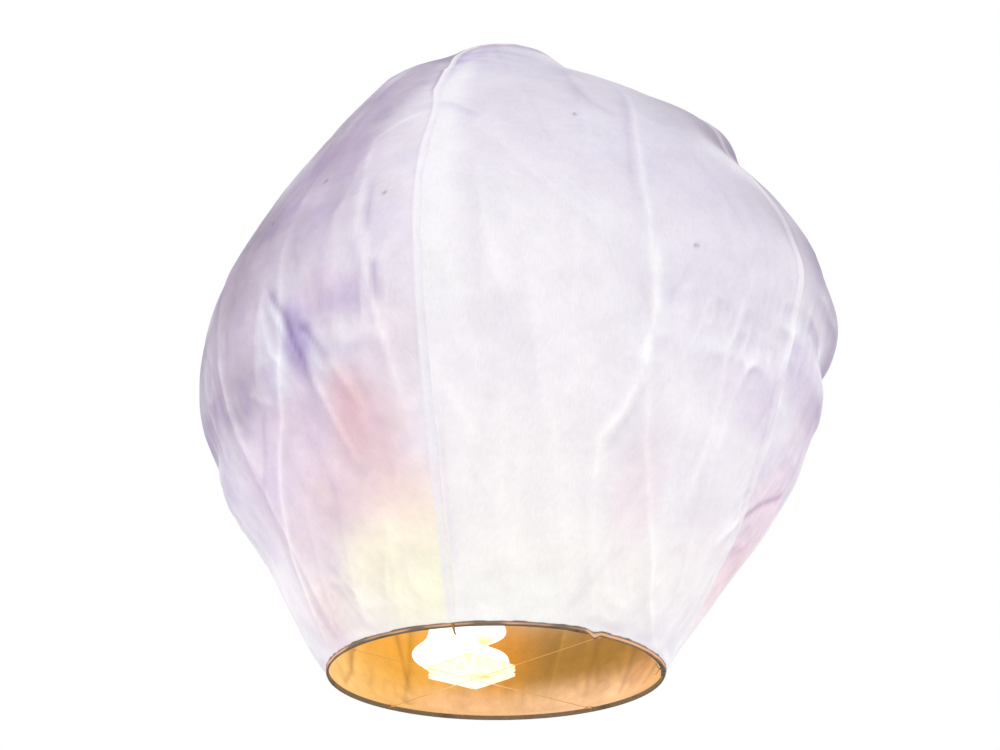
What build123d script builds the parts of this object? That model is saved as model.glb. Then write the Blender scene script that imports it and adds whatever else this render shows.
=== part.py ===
from build123d import *
import math
import os

# A paper sky lantern: four paper panels glued side to side into a bag, a bamboo hoop at its mouth,
# two steel wires across the hoop and a stack of waxed fuel pads on their crossing.
# Millimetres, +Z up. The origin is the centre of the hoop's underside, and the view from the front
# looks along +Y. Angles about Z are in degrees from +X.

# --- driving dimensions -------------------------------------------------------------------------
HOOP_OUTER_R = 160.0        # outer face of the bamboo hoop
STRIP_T = 2.0               # thickness of the split bamboo
STRIP_H = 4.0               # height of the split bamboo
LAP_START = -62.0           # the strip's ends overlap from this angle
LAP_END = 2.0               # to this one
LAP_STEP = 4.0              # the strip steps inwards over this angle
STRIP_GAP = 0.1             # between the two layers of the overlap
STRIP_BUTT_DEG = 0.3        # between the strip's outer end and the step beside it

PAPER_T = 0.5               # thickness that stands in for thin tissue
GLUE_GAP = 0.1              # between the hoop's outer face and the paper
PAPER_LOW_Z = 1.2           # lower edge of the paper on the hoop
FLARE_DEG = 32.4            # the wall leans out from the hoop by this angle
FLARE_L = 174.0             # length of the straight flare
BELLY_LOW_R = 334.0         # meridian radius below the widest place
BELLY_HIGH_R = 100.0        # meridian radius just above the widest place
BELLY_HIGH_TURN = 22.4
SHOULDER_R = 485.0          # meridian radius of the shoulder
SHOULDER_TURN = 35.7
FLAT_R = 30.0               # the top is nearly flat inside this radius
FLAT_SLOPE = 84.0           # angle of that flat top from the vertical
TIP_R = 12.0                # the panels' tips end at this radius
SEAMS = [-110.0, -20.0, 70.0, 160.0]
PANEL_DEG = 90.0
SEAM_GAP_DEG = 0.3          # between the edges of two panels
SEAM_LAP_DEG = 2.0          # each panel's glue lap over the next panel
LAP_JOG_DEG = 0.3           # the jog that carries the lap outwards
LAP_GAP = 0.25              # between the lap and the panel below it
LAP_TOP_R = 44.0            # the laps stop here, outside the crown patch

PATCH_R = 38.0              # the paper patch that closes the top
PATCH_GAP = 0.4             # above the panels
PATCH_T = 0.5

WIRE_R = 0.35               # cross wires
WIRE_1_Z = 1.6              # height of the lower wire
WIRE_2_Z = 2.4              # height of the upper wire
WIRE_1_ENDS = [-51.0, 131.0]
WIRE_2_ENDS = [-150.0, 53.5]
WIRE_HOLE_R = 0.45          # hole in the bamboo
PIERCED_R = 0.6             # hole pierced in the paper
WIRE_OUT = 1.4              # the loop stands this far out from the hoop's outer face
WIRE_OVER_Z = STRIP_H + 0.5  # the loop returns over the strip at this height
WIRE_IN = 5.5               # and comes down this far inside the outer face
TWIST_START = 7.5           # the end is twisted round the wire from here
TWIST_PITCH = 1.3
TWIST_TURNS = 3
TWIST_SIDES = 6             # straight runs in one turn
TWIST_R = 0.9
TWIST_BEND = 0.5            # bend radius between the runs of the twist
LOOP_BEND = 0.8             # bend radius at the loop round the strip

LASHING_ANGLES = [-56.0, -4.0]
THREAD_R = 0.4
THREAD_TURNS = 4
THREAD_PITCH = 0.85
THREAD_BEND = 0.6           # bend radius at the corners of the strip
THREAD_CLEAR = 0.08         # between the thread and the bottom of its nock
NOCK_DEPTH = 0.95
NOCK_SIDE_GAP = 0.15        # beside the outermost turns

CORNER_DEG = 45.0           # the tie and the hairpin stand halfway between the wires
TIE_R = 1.05                # ring that ties the crossing
TIE_WIRE_R = 0.2
PIN_R = 0.3                 # hairpin that carries the fuel pads
PIN_HALF = 6.0              # half the distance between its legs
PIN_LOW_Z = 0.4
PIN_BEND = 1.0
PIN_ABOVE = 3.0             # legs stand this far above the pads

PAD_SIDE = 60.0
PAD_T = 2.0
PAD_GAP = 0.05
PAD_COUNT = 6
PAD_LOW_Z = 3.6
PAD_CORNER_R = 1.5
PAD_HOLE_R = 0.6
PAD_TURNS = [0.0, 2.5, -1.5, 1.0, -2.0, 0.5]   # each pad is stacked a little askew

# --- worked out ---------------------------------------------------------------------------------
PAPER_R = HOOP_OUTER_R + GLUE_GAP
STRIP_INNER_R = HOOP_OUTER_R - STRIP_T
LAP_OUTER_R = STRIP_INNER_R - STRIP_GAP
LAP_INNER_R = LAP_OUTER_R - STRIP_T
LAP_LOW = PAPER_T + LAP_GAP
LAP_HIGH = LAP_LOW + PAPER_T
PAD_TOP_Z = PAD_LOW_Z + PAD_COUNT * (PAD_T + PAD_GAP)
NOCK_W = THREAD_PITCH * THREAD_TURNS + 2 * NOCK_SIDE_GAP


def polar(radius, degrees):
    """A point on a circle about Z."""
    a = math.radians(degrees)
    return Vector(radius * math.cos(a), radius * math.sin(a), 0)


def heading(from_vertical):
    """Unit direction in the (radius, height) plane, leaning out by an angle."""
    a = math.radians(from_vertical)
    return Vector(math.sin(a), math.cos(a))


def outward(from_vertical):
    """Normal of a wall that leans out by an angle, pointing away from the lantern's axis."""
    a = math.radians(from_vertical)
    return Vector(math.cos(a), -math.sin(a))


def mitre(corner, lean_in, lean_out, offset):
    """Where the corner between two straight walls lies after both move outwards by an offset."""
    a, b = outward(lean_in), outward(lean_out)
    return corner + (a + b) * (offset / (1 + a.dot(b)))


def meridian(offset, top_r):
    """The paper's line from the hoop to the top, moved outwards by an offset, ending at a radius."""
    foot = Vector(PAPER_R, PAPER_LOW_Z)
    hip = Vector(PAPER_R, STRIP_H)
    flare_end = hip + heading(FLARE_DEG) * FLARE_L
    centre_1 = flare_end - outward(FLARE_DEG) * BELLY_LOW_R
    centre_2 = centre_1 + Vector(BELLY_LOW_R - BELLY_HIGH_R, 0)
    turn_out = outward(-BELLY_HIGH_TURN)
    centre_3 = centre_2 + turn_out * (BELLY_HIGH_R - SHOULDER_R)
    lean = -(BELLY_HIGH_TURN + SHOULDER_TURN)
    shoulder_end = centre_3 + outward(lean) * SHOULDER_R
    slope = heading(lean)
    flat_run = slope * ((FLAT_R - shoulder_end.X) / slope.X)
    flat_corner = shoulder_end + flat_run

    start = foot + outward(0) * offset
    hip_off = mitre(hip, 0, FLARE_DEG, offset)
    edges = [
        Line(start, hip_off),
        Line(hip_off, flare_end + outward(FLARE_DEG) * offset),
        CenterArc(centre_1, BELLY_LOW_R + offset, -FLARE_DEG, FLARE_DEG),
        CenterArc(centre_2, BELLY_HIGH_R + offset, 0, BELLY_HIGH_TURN),
        CenterArc(centre_3, SHOULDER_R + offset, BELLY_HIGH_TURN, SHOULDER_TURN),
    ]
    straight_start = shoulder_end + outward(lean) * offset
    if top_r > FLAT_R:
        cut = shoulder_end + slope * ((top_r - shoulder_end.X) / slope.X)
        end = cut + outward(lean) * offset
        edges.append(Line(straight_start, end))
        return edges, start, end
    corner = mitre(flat_corner, lean, -FLAT_SLOPE, offset)
    flat = heading(-FLAT_SLOPE)
    end = flat_corner + flat * ((top_r - FLAT_R) / flat.X) + outward(-FLAT_SLOPE) * offset
    edges.append(Line(straight_start, corner))
    edges.append(Line(corner, end))
    return edges, start, end


def paper_sector(low, high, top_r, start_deg, end_deg):
    """Paper between two offsets from the meridian, turned about Z from one angle to another."""
    inner, inner_start, inner_end = meridian(low, top_r)
    outer, outer_start, outer_end = meridian(high, top_r)
    section = make_face(outer + inner + [Line(inner_start, outer_start), Line(inner_end, outer_end)])
    solid = revolve(Plane.XZ * section, Axis.Z, revolution_arc=end_deg - start_deg)
    return Rot(0, 0, start_deg) * solid


def paper_panel(seam):
    """One panel from its seam to the next, with a glue lap that lies over the next panel."""
    first = seam + SEAM_GAP_DEG / 2
    last = seam + PANEL_DEG - SEAM_GAP_DEG / 2
    sheet = paper_sector(0, PAPER_T, TIP_R, first, last)
    jog = paper_sector(0, LAP_HIGH, LAP_TOP_R, last - LAP_JOG_DEG, last)
    lap = paper_sector(LAP_LOW, LAP_HIGH, LAP_TOP_R, last - LAP_JOG_DEG, last + SEAM_LAP_DEG)
    return sheet + jog + lap


def strip_sector(inner_r, outer_r, start_deg, end_deg):
    """A stretch of bamboo strip between two radii and two angles."""
    section = Pos(inner_r, 0) * Rectangle(outer_r - inner_r, STRIP_H, align=(Align.MIN, Align.MIN))
    solid = revolve(Plane.XZ * section, Axis.Z, revolution_arc=end_deg - start_deg)
    return Rot(0, 0, start_deg) * solid


def strip_step():
    """The short stretch where the strip steps from the outer layer to the inner one."""
    before, after = LAP_START - LAP_STEP, LAP_START
    corners = [
        polar(STRIP_INNER_R, before),
        polar(HOOP_OUTER_R, before),
        polar(LAP_OUTER_R, after),
        polar(LAP_INNER_R, after),
    ]
    return extrude(make_face(Polyline(*corners, close=True)), STRIP_H)


def lashing_turn(shift, clearance):
    """The closed path of one turn of thread round both layers of the strip, at a lashing."""
    low = NOCK_DEPTH - THREAD_R - clearance
    high = STRIP_H - low
    inner = LAP_INNER_R + low
    outer = HOOP_OUTER_R - low
    corners = [(inner, shift, low), (outer, shift, low), (outer, shift, high), (inner, shift, high)]
    return FilletPolyline(*corners, radius=THREAD_BEND, close=True)


def hoop():
    """The bamboo strip bent into a ring, its ends overlapping, nocked and drilled."""
    butt = LAP_START + STRIP_BUTT_DEG
    ring = strip_sector(STRIP_INNER_R, HOOP_OUTER_R, butt, 360 + LAP_START - LAP_STEP)
    tail = strip_sector(LAP_INNER_R, LAP_OUTER_R, LAP_START, LAP_END)
    strip = ring + strip_step() + tail
    for angle in LASHING_ANGLES:
        width = HOOP_OUTER_R - LAP_INNER_R
        middle = (HOOP_OUTER_R + LAP_INNER_R) / 2
        outside = Box(width + STRIP_H, NOCK_W, STRIP_H + STRIP_T)
        core = Box(width - 2 * NOCK_DEPTH, NOCK_W, STRIP_H - 2 * NOCK_DEPTH)
        strip -= Rot(0, 0, angle) * (Pos(middle, 0, STRIP_H / 2) * (outside - core))
    for wire in WIRES:
        for end in wire.ends:
            strip -= wire.bore(end, WIRE_HOLE_R, wire.z)
    return strip


def lashing(angle):
    """Thread wound side by side round the overlap, each turn a closed loop."""
    turns = []
    first = -THREAD_PITCH * (THREAD_TURNS - 1) / 2
    for i in range(THREAD_TURNS):
        path = lashing_turn(first + i * THREAD_PITCH, THREAD_CLEAR)
        section = Plane(origin=path @ 0, z_dir=path % 0) * Circle(THREAD_R)
        turns.append(Rot(0, 0, angle) * sweep(section, path=path))
    return Compound(children=turns)


class CrossWire:
    """A straight wire between two places on the hoop, looped over the strip and twisted back."""

    def __init__(self, ends_deg, z):
        self.z = z
        places = [polar(HOOP_OUTER_R, a) for a in ends_deg]
        along = (places[1] - places[0]).normalized()
        self.ends = [(places[0], -along), (places[1], along)]

    def place(self, end, out, side, z):
        """A point near one end: out along the wire, to its side, and up."""
        origin, direction = end
        across = Vector(-direction.Y, direction.X, 0)
        return origin + direction * out + across * side + Vector(0, 0, z)

    def bore(self, end, radius, z):
        """A drill through the hoop or the paper along the wire."""
        origin, direction = end
        plane = Plane(origin=origin + Vector(0, 0, z), z_dir=direction)
        return plane * Cylinder(radius, 2 * WIRE_IN)

    def end_route(self, end):
        """The route at one end, from the standing wire outwards, and each corner's bend radius."""
        route = [(WIRE_OUT, 0, self.z), (WIRE_OUT, 0, WIRE_OVER_Z), (-WIRE_IN, 0, WIRE_OVER_Z)]
        bends = [LOOP_BEND, LOOP_BEND, LOOP_BEND]
        for k in range(TWIST_TURNS * TWIST_SIDES):
            a = 2 * math.pi * k / TWIST_SIDES
            out = -TWIST_START - TWIST_PITCH * k / TWIST_SIDES
            route.append((out, TWIST_R * math.sin(a), self.z + TWIST_R * math.cos(a)))
            bends.append(TWIST_BEND)
        return [self.place(end, *p) for p in route], bends

    def solid(self):
        """The whole wire as one round rod."""
        first, first_bends = self.end_route(self.ends[0])
        second, second_bends = self.end_route(self.ends[1])
        bends = first_bends[-2::-1] + second_bends[:-1]
        path = FilletPolyline(*(first[::-1] + second), radius=bends)
        section = Plane(origin=path @ 0, z_dir=path % 0) * Circle(WIRE_R)
        return sweep(section, path=path)


WIRES = [CrossWire(WIRE_1_ENDS, WIRE_1_Z), CrossWire(WIRE_2_ENDS, WIRE_2_Z)]
WIRE_TURN = math.degrees(math.atan2(WIRES[0].ends[1][1].Y, WIRES[0].ends[1][1].X))
PIN_TURN = WIRE_TURN - CORNER_DEG


def crossing():
    """Where the two wires cross, seen from above."""
    (a, u), (c, v) = WIRES[0].ends[0], WIRES[1].ends[0]
    t = ((c.X - a.X) * v.Y - (c.Y - a.Y) * v.X) / (u.X * v.Y - u.Y * v.X)
    return a + u * t


def crossing_tie():
    """A ring of thin wire round both wires, upright, across the corner between them."""
    middle = crossing() + Vector(0, 0, (WIRE_1_Z + WIRE_2_Z) / 2)
    return Plane(origin=middle, z_dir=polar(1, PIN_TURN)) * Torus(TIE_R, TIE_WIRE_R)


def fuel_pin():
    """A hairpin under the crossing, whose two legs stand up through the pads."""
    top = PAD_TOP_Z + PIN_ABOVE
    corners = [(-PIN_HALF, 0, top), (-PIN_HALF, 0, PIN_LOW_Z), (PIN_HALF, 0, PIN_LOW_Z), (PIN_HALF, 0, top)]
    path = FilletPolyline(*corners, radius=PIN_BEND)
    section = Plane(origin=path @ 0, z_dir=path % 0) * Circle(PIN_R)
    return Pos(*crossing()) * (Rot(0, 0, PIN_TURN) * sweep(section, path=path))


def fuel_pad(index):
    """One waxed paper pad, with two holes for the hairpin's legs."""
    pad = extrude(RectangleRounded(PAD_SIDE, PAD_SIDE, PAD_CORNER_R), PAD_T)
    pad = Rot(0, 0, WIRE_TURN + PAD_TURNS[index]) * pad
    for side in (-PIN_HALF, PIN_HALF):
        pad -= Pos(*polar(side, PIN_TURN)) * Cylinder(PAD_HOLE_R, 3 * PAD_T)
    height = PAD_LOW_Z + index * (PAD_T + PAD_GAP)
    return Pos(*crossing()) * (Pos(0, 0, height) * pad)


def crown_patch():
    """The round patch glued over the panels' tips."""
    lean = -(BELLY_HIGH_TURN + SHOULDER_TURN)
    _, _, rim = meridian(PAPER_T + PATCH_GAP, PATCH_R)
    _, _, rim_top = meridian(PAPER_T + PATCH_GAP + PATCH_T, PATCH_R)
    _, _, mid = meridian(PAPER_T + PATCH_GAP, TIP_R)
    _, _, mid_top = meridian(PAPER_T + PATCH_GAP + PATCH_T, TIP_R)
    corner = rim + heading(lean) * ((FLAT_R - rim.X) / heading(lean).X)
    corner_top = rim_top + heading(lean) * ((FLAT_R - rim_top.X) / heading(lean).X)
    rise = Vector(0, TIP_R / math.tan(math.radians(FLAT_SLOPE)))
    axis_low = Vector(0, mid.Y) + rise
    axis_high = Vector(0, mid_top.Y) + rise
    under = [rim, corner, mid, axis_low]
    over = [axis_high, mid_top, corner_top, rim_top]
    section = make_face(Polyline(*under, *over, close=True))
    return revolve(Plane.XZ * section, Axis.Z)


def pierced_panel(seam):
    """A panel with the holes that the wires are pushed through."""
    panel = paper_panel(seam)
    for wire in WIRES:
        for end in wire.ends:
            angle = math.degrees(math.atan2(end[0].Y, end[0].X))
            if (angle - seam) % 360 < PANEL_DEG:
                for z in (wire.z, WIRE_OVER_Z):
                    panel -= wire.bore(end, PIERCED_R, z)
    return panel


def main():
    os.makedirs("parts", exist_ok=True)
    nodes = {
        "hoop": hoop(),
        "crossing_tie": crossing_tie(),
        "fuel_pin": fuel_pin(),
        "crown_patch": crown_patch(),
    }
    for i, wire in enumerate(WIRES):
        nodes[f"cross_wire_{i + 1}"] = wire.solid()
    for i, angle in enumerate(LASHING_ANGLES):
        nodes[f"hoop_lashing_{i + 1}"] = lashing(angle)
    for i in range(PAD_COUNT):
        nodes[f"fuel_pad_{i + 1}"] = fuel_pad(i)
    for i, seam in enumerate(SEAMS):
        nodes[f"paper_panel_{i + 1}"] = pierced_panel(seam)
    for name, shape in nodes.items():
        export_step(shape, f"parts/{name}.step")


main()
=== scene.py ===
import math

import bpy
import numpy as np
from bpy.props import FloatProperty, IntProperty, PointerProperty
from mathutils import Euler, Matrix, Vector


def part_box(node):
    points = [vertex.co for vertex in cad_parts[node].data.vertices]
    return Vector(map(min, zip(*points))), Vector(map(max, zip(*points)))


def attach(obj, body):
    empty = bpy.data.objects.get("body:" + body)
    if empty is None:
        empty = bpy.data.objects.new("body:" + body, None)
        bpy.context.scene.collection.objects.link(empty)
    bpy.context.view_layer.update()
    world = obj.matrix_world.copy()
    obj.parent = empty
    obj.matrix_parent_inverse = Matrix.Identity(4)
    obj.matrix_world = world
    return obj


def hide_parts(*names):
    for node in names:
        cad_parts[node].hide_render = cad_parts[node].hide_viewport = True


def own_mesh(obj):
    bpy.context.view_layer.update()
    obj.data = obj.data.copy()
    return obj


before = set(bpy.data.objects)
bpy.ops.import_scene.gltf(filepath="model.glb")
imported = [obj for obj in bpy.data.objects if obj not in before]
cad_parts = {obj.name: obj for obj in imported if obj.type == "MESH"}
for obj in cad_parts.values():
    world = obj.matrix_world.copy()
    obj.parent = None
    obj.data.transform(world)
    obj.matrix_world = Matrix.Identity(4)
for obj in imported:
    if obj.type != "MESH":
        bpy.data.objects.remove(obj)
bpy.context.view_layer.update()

bl_info = {
    "name": "Sky Lantern Looks",
    "version": (1, 0, 0),
    "blender": (4, 5, 0),
    "location": "View3D > Sidebar > Lantern",
    "description": "Dresses the sky lantern in lit tissue, bamboo, thread, wire, waxed pads and a flame",
    "category": "Object",
}

# ---------------------------------------------------------------- the bag's cut, metres and degrees
HOOP_TOP = 0.004
HOOP_OUTER = 0.160
PAPER_INSIDE = 0.1601
PAPER_LOW = 0.0012
FLARE_LEAN = 32.4
FLARE_LENGTH = 0.174
BELLY_LOW = 0.334
BELLY_HIGH = 0.100
BELLY_HIGH_TURN = 22.4
SHOULDER = 0.485
SHOULDER_TURN = 35.7
FLAT_RADIUS = 0.030
FLAT_SLOPE = 84.0
TIP_RADIUS = 0.012
PATCH_RADIUS = 0.038
PANELS = 4
LASHING_ANGLES = (-56.0, -4.0)
LASHING_RADIUS = 0.15795
LASHING_HALF = 0.0016
PADS = 6
PAD_SIDE = 0.060
PAD_TURN = 130.0
PAD_ASKEW = (0.0, 2.5, -1.5, 1.0, -2.0, 0.5)
TAIL_ANGLE = -14.0
CREST_ROUND = 0.0016
FOLD_SHARE = 0.5

# ---------------------------------------------------------------- how finely the pieces are meshed
ACROSS = 150
LAP_COLUMNS = 8
ALONG = 324
HEM_ROWS = 16
HEM_LENGTH = 0.0045
ABOVE_HEM = 0.0065
CROWN_RINGS = 16
CROWN_SIDES = 96
PAD_ROWS = 44
TAIL_ROWS = 22
TAIL_COLUMNS = 7
FLAME_ROWS = 48
FLAME_SIDES = 72

# ---------------------------------------------------------------- small sizes, metres
PATCH_STAND_OFF = 0.0011
PATCH_GAUGE = 0.0003
KNOT_REACH = 0.00085
FLAME_RADIUS = 0.036
FLAME_TIP = 0.0004
FLAME_GAP = 0.0006
FLOOR_REACH = 30
FLOOR_DROP = 2.6
CAMERA_SIDE = 0.0038

# ---------------------------------------------------------------- single colours as painted, 0 to 255
# the dark band on the tissue's raw edge is the hoop's shadow behind the paper, painted, with the bamboo
# showing through the glue; the lit hem is the flame's light, painted
HOOP_SHADOW_EDGE = (122, 106, 92)
LIT_HEM = (246, 186, 140)
TAIL_PAPER = (150, 122, 70)

# where each seam runs: (degrees round from the front, height in mm), from the hoop to the crown
SEAM_FRONT_LEFT = [(-16.5, 0), (-15.2, 100), (-14.4, 210), (-14.6, 310), (-16.2, 430), (-17, 500),
                   (-23, 560), (-26, 595), (-40, 641)]
SEAM_FRONT_RIGHT = [(86, 0), (80, 60), (73, 111), (65, 163), (61, 220), (61, 310), (63, 420), (66, 520),
                    (70, 645)]
SEAM_BACK_RIGHT = [(163, 0), (162, 120), (165, 240), (162, 380), (158, 500), (160, 645)]
SEAM_BACK_LEFT = [(254, 0), (252, 110), (248, 230), (247, 350), (250, 480), (249, 645)]
SEAM_PATHS = [SEAM_FRONT_LEFT, SEAM_FRONT_RIGHT, SEAM_BACK_RIGHT, SEAM_BACK_LEFT]

# the bag floats a little to one side of its hoop: (height, sideways), mm
BAG_LEAN = [(0, -3), (80, 3), (160, 7), (240, 12), (300, 17), (360, 26.5), (420, 29), (480, 27), (540, 17),
            (590, -1), (620, -4), (647, -5)]

# broad swells and dents: (degrees round, height mm, reach in degrees, reach mm, out by mm)
SWELLS = [(-92, 262, 34, 60, 3), (-90, 390, 40, 170, -5), (-90, 205, 14, 14, -7), (92, 342, 16, 16, 2.5),
          (90, 297, 16, 16, -12), (92, 262, 14, 9, 2), (90, 415, 24, 26, 6), (88, 492, 24, 16, -5),
          (-90, 224, 14, 16, -5), (-88, 110, 20, 40, -3), (84, 232, 16, 22, -3), (46, 590, 20, 11, -13),
          (74, 628, 40, 16, 9), (20, 612, 34, 26, 5), (78, 520, 24, 26, 15), (72, 552, 26, 26, 5),
          (-60, 600, 26, 16, 5), (94, 455, 20, 22, 4), (86, 500, 18, 12, -3), (-88, 500, 26, 40, -3),
          (-60, 360, 20, 50, 3), (-30, 590, 20, 18, -3), (5, 300, 26, 90, 4), (45, 240, 18, 60, -3),
          (-45, 190, 20, 40, -4), (30, 120, 14, 60, -3), (120, 330, 30, 80, 4), (200, 420, 34, 90, 5),
          (215, 150, 24, 60, -4), (150, 560, 30, 40, 4), (238, 250, 24, 70, 3), (185, 250, 22, 60, -4),
          (140, 180, 22, 50, -3)]

# folds in the paper: points (degrees round, height mm), then half width left and right and crest, in mm
FOLDS = [
    ([(38, 556), (35, 516), (29, 456), (27, 413), (26, 375), (26, 342), (26.5, 310)], 4, 14, 2.2),
    ([(27, 315), (28, 260), (27, 205)], 9, 7, 4.2),
    ([(28, 215), (25, 173), (21.5, 150), (23, 100), (26, 56), (33, 6)], 5, 14, 3.6),
    ([(28, 215), (31.5, 153), (39, 95), (51, 36), (64, 6)], 16, 4, 3.6),
    ([(-16.5, 491), (-24, 478), (-29, 461), (-27.5, 415), (-26, 376), (-25, 335)], 14, 5, 1.6),
    ([(-25, 335), (-23, 297), (-22, 263), (-20, 223), (-18, 180)], 6, 9, 2.0),
    ([(-47, 312), (-41, 252), (-35.5, 200), (-30.5, 131)], 10, 4, 4.6),
    ([(-47, 312), (-50, 262), (-52, 205)], 4, 12, 2.6),
    ([(-38, 258), (-32, 225), (-27, 180)], 8, 4, 2.8),
    ([(-43, 420), (-43, 353), (-42.5, 263)], 10, 6, 2.2),
    ([(-42.5, 263), (-47.5, 188), (-57, 128), (-64, 81), (-67, 49), (-70, 12)], 10, 5, 3.0),
    ([(-64, 278), (-63, 237), (-63, 192), (-60, 150)], 6, 5, 2.2),
    ([(-72, 300), (-76, 240), (-74, 190)], 7, 5, 2.6),
    ([(-55, 222), (-49, 203)], 5, 5, 2.0),
    ([(-58, 170), (-64, 110), (-66, 60)], 5, 9, 2.2),
    ([(-82, 250), (-86, 180), (-84, 110)], 6, 8, 2.6),
    ([(-30, 235), (-26, 190), (-24, 130), (-26, 70)], 7, 12, -2.2),
    ([(-36, 150), (-40, 95), (-44, 40), (-46, 8)], 5, 8, 2.4),
    ([(-50, 110), (-55, 62), (-58, 12)], 4, 7, 2.0),
    ([(-28, 100), (-29, 50), (-31, 8)], 6, 6, 1.6),
    ([(-15.5, 500), (-9, 488), (-3.5, 472)], 6, 4, 3.0),
    ([(-24, 602), (-12, 590), (-2, 574), (6, 566)], 6, 9, 3.2),
    ([(-30, 585), (-22, 572), (-15, 566)], 5, 5, 2.4),
    ([(22, 566), (21, 520), (20, 480)], 4, 8, 2.4),
    ([(40, 606), (52, 590), (66, 578), (80, 566)], 5, 10, 3.4),
    ([(-60, 600), (-52, 560), (-46, 500), (-45, 440)], 12, 6, 2.4),
    ([(-70, 500), (-62, 440), (-58, 380)], 8, 6, 1.8),
    ([(61, 330), (62, 266), (63, 200), (69, 140), (78, 70)], 7, 5, 2.6),
    ([(67, 309), (73, 300), (80, 278), (86, 262)], 5, 8, 4.0),
    ([(70, 340), (76, 330), (84, 330)], 6, 5, 2.6),
    ([(71, 125), (76, 146), (86, 170)], 4, 7, -3.4),
    ([(66, 96), (72, 130), (76, 180)], 6, 6, 2.2),
    ([(5, 300), (8, 200), (12, 120), (16, 30)], 14, 10, 1.8),
    ([(-4, 420), (-2, 330), (2, 250)], 12, 8, 1.4),
    ([(10, 180), (14, 110), (22, 20)], 6, 10, 1.6),
    ([(44, 420), (42, 360), (44, 320)], 8, 10, 1.6),
    ([(48, 210), (50, 150), (56, 90), (66, 30)], 8, 6, 2.0),
    ([(38, 200), (40, 140), (44, 80), (52, 20)], 6, 9, 1.8),
]
CRUMPLES = [(48, 258, 18, 42, 3.0), (66, 290, 12, 34, 3.0), (-26, 285, 10, 40, 2.2),
            (-40, 250, 12, 42, 2.4), (-66, 230, 16, 70, 2.0), (80, 150, 14, 60, 2.4), (30, 30, 60, 26, 1.2),
            (-40, 40, 40, 36, 1.6), (10, 590, 40, 24, 1.8), (-74, 420, 16, 110, 1.4),
            (84, 420, 16, 120, 1.6)]
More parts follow.
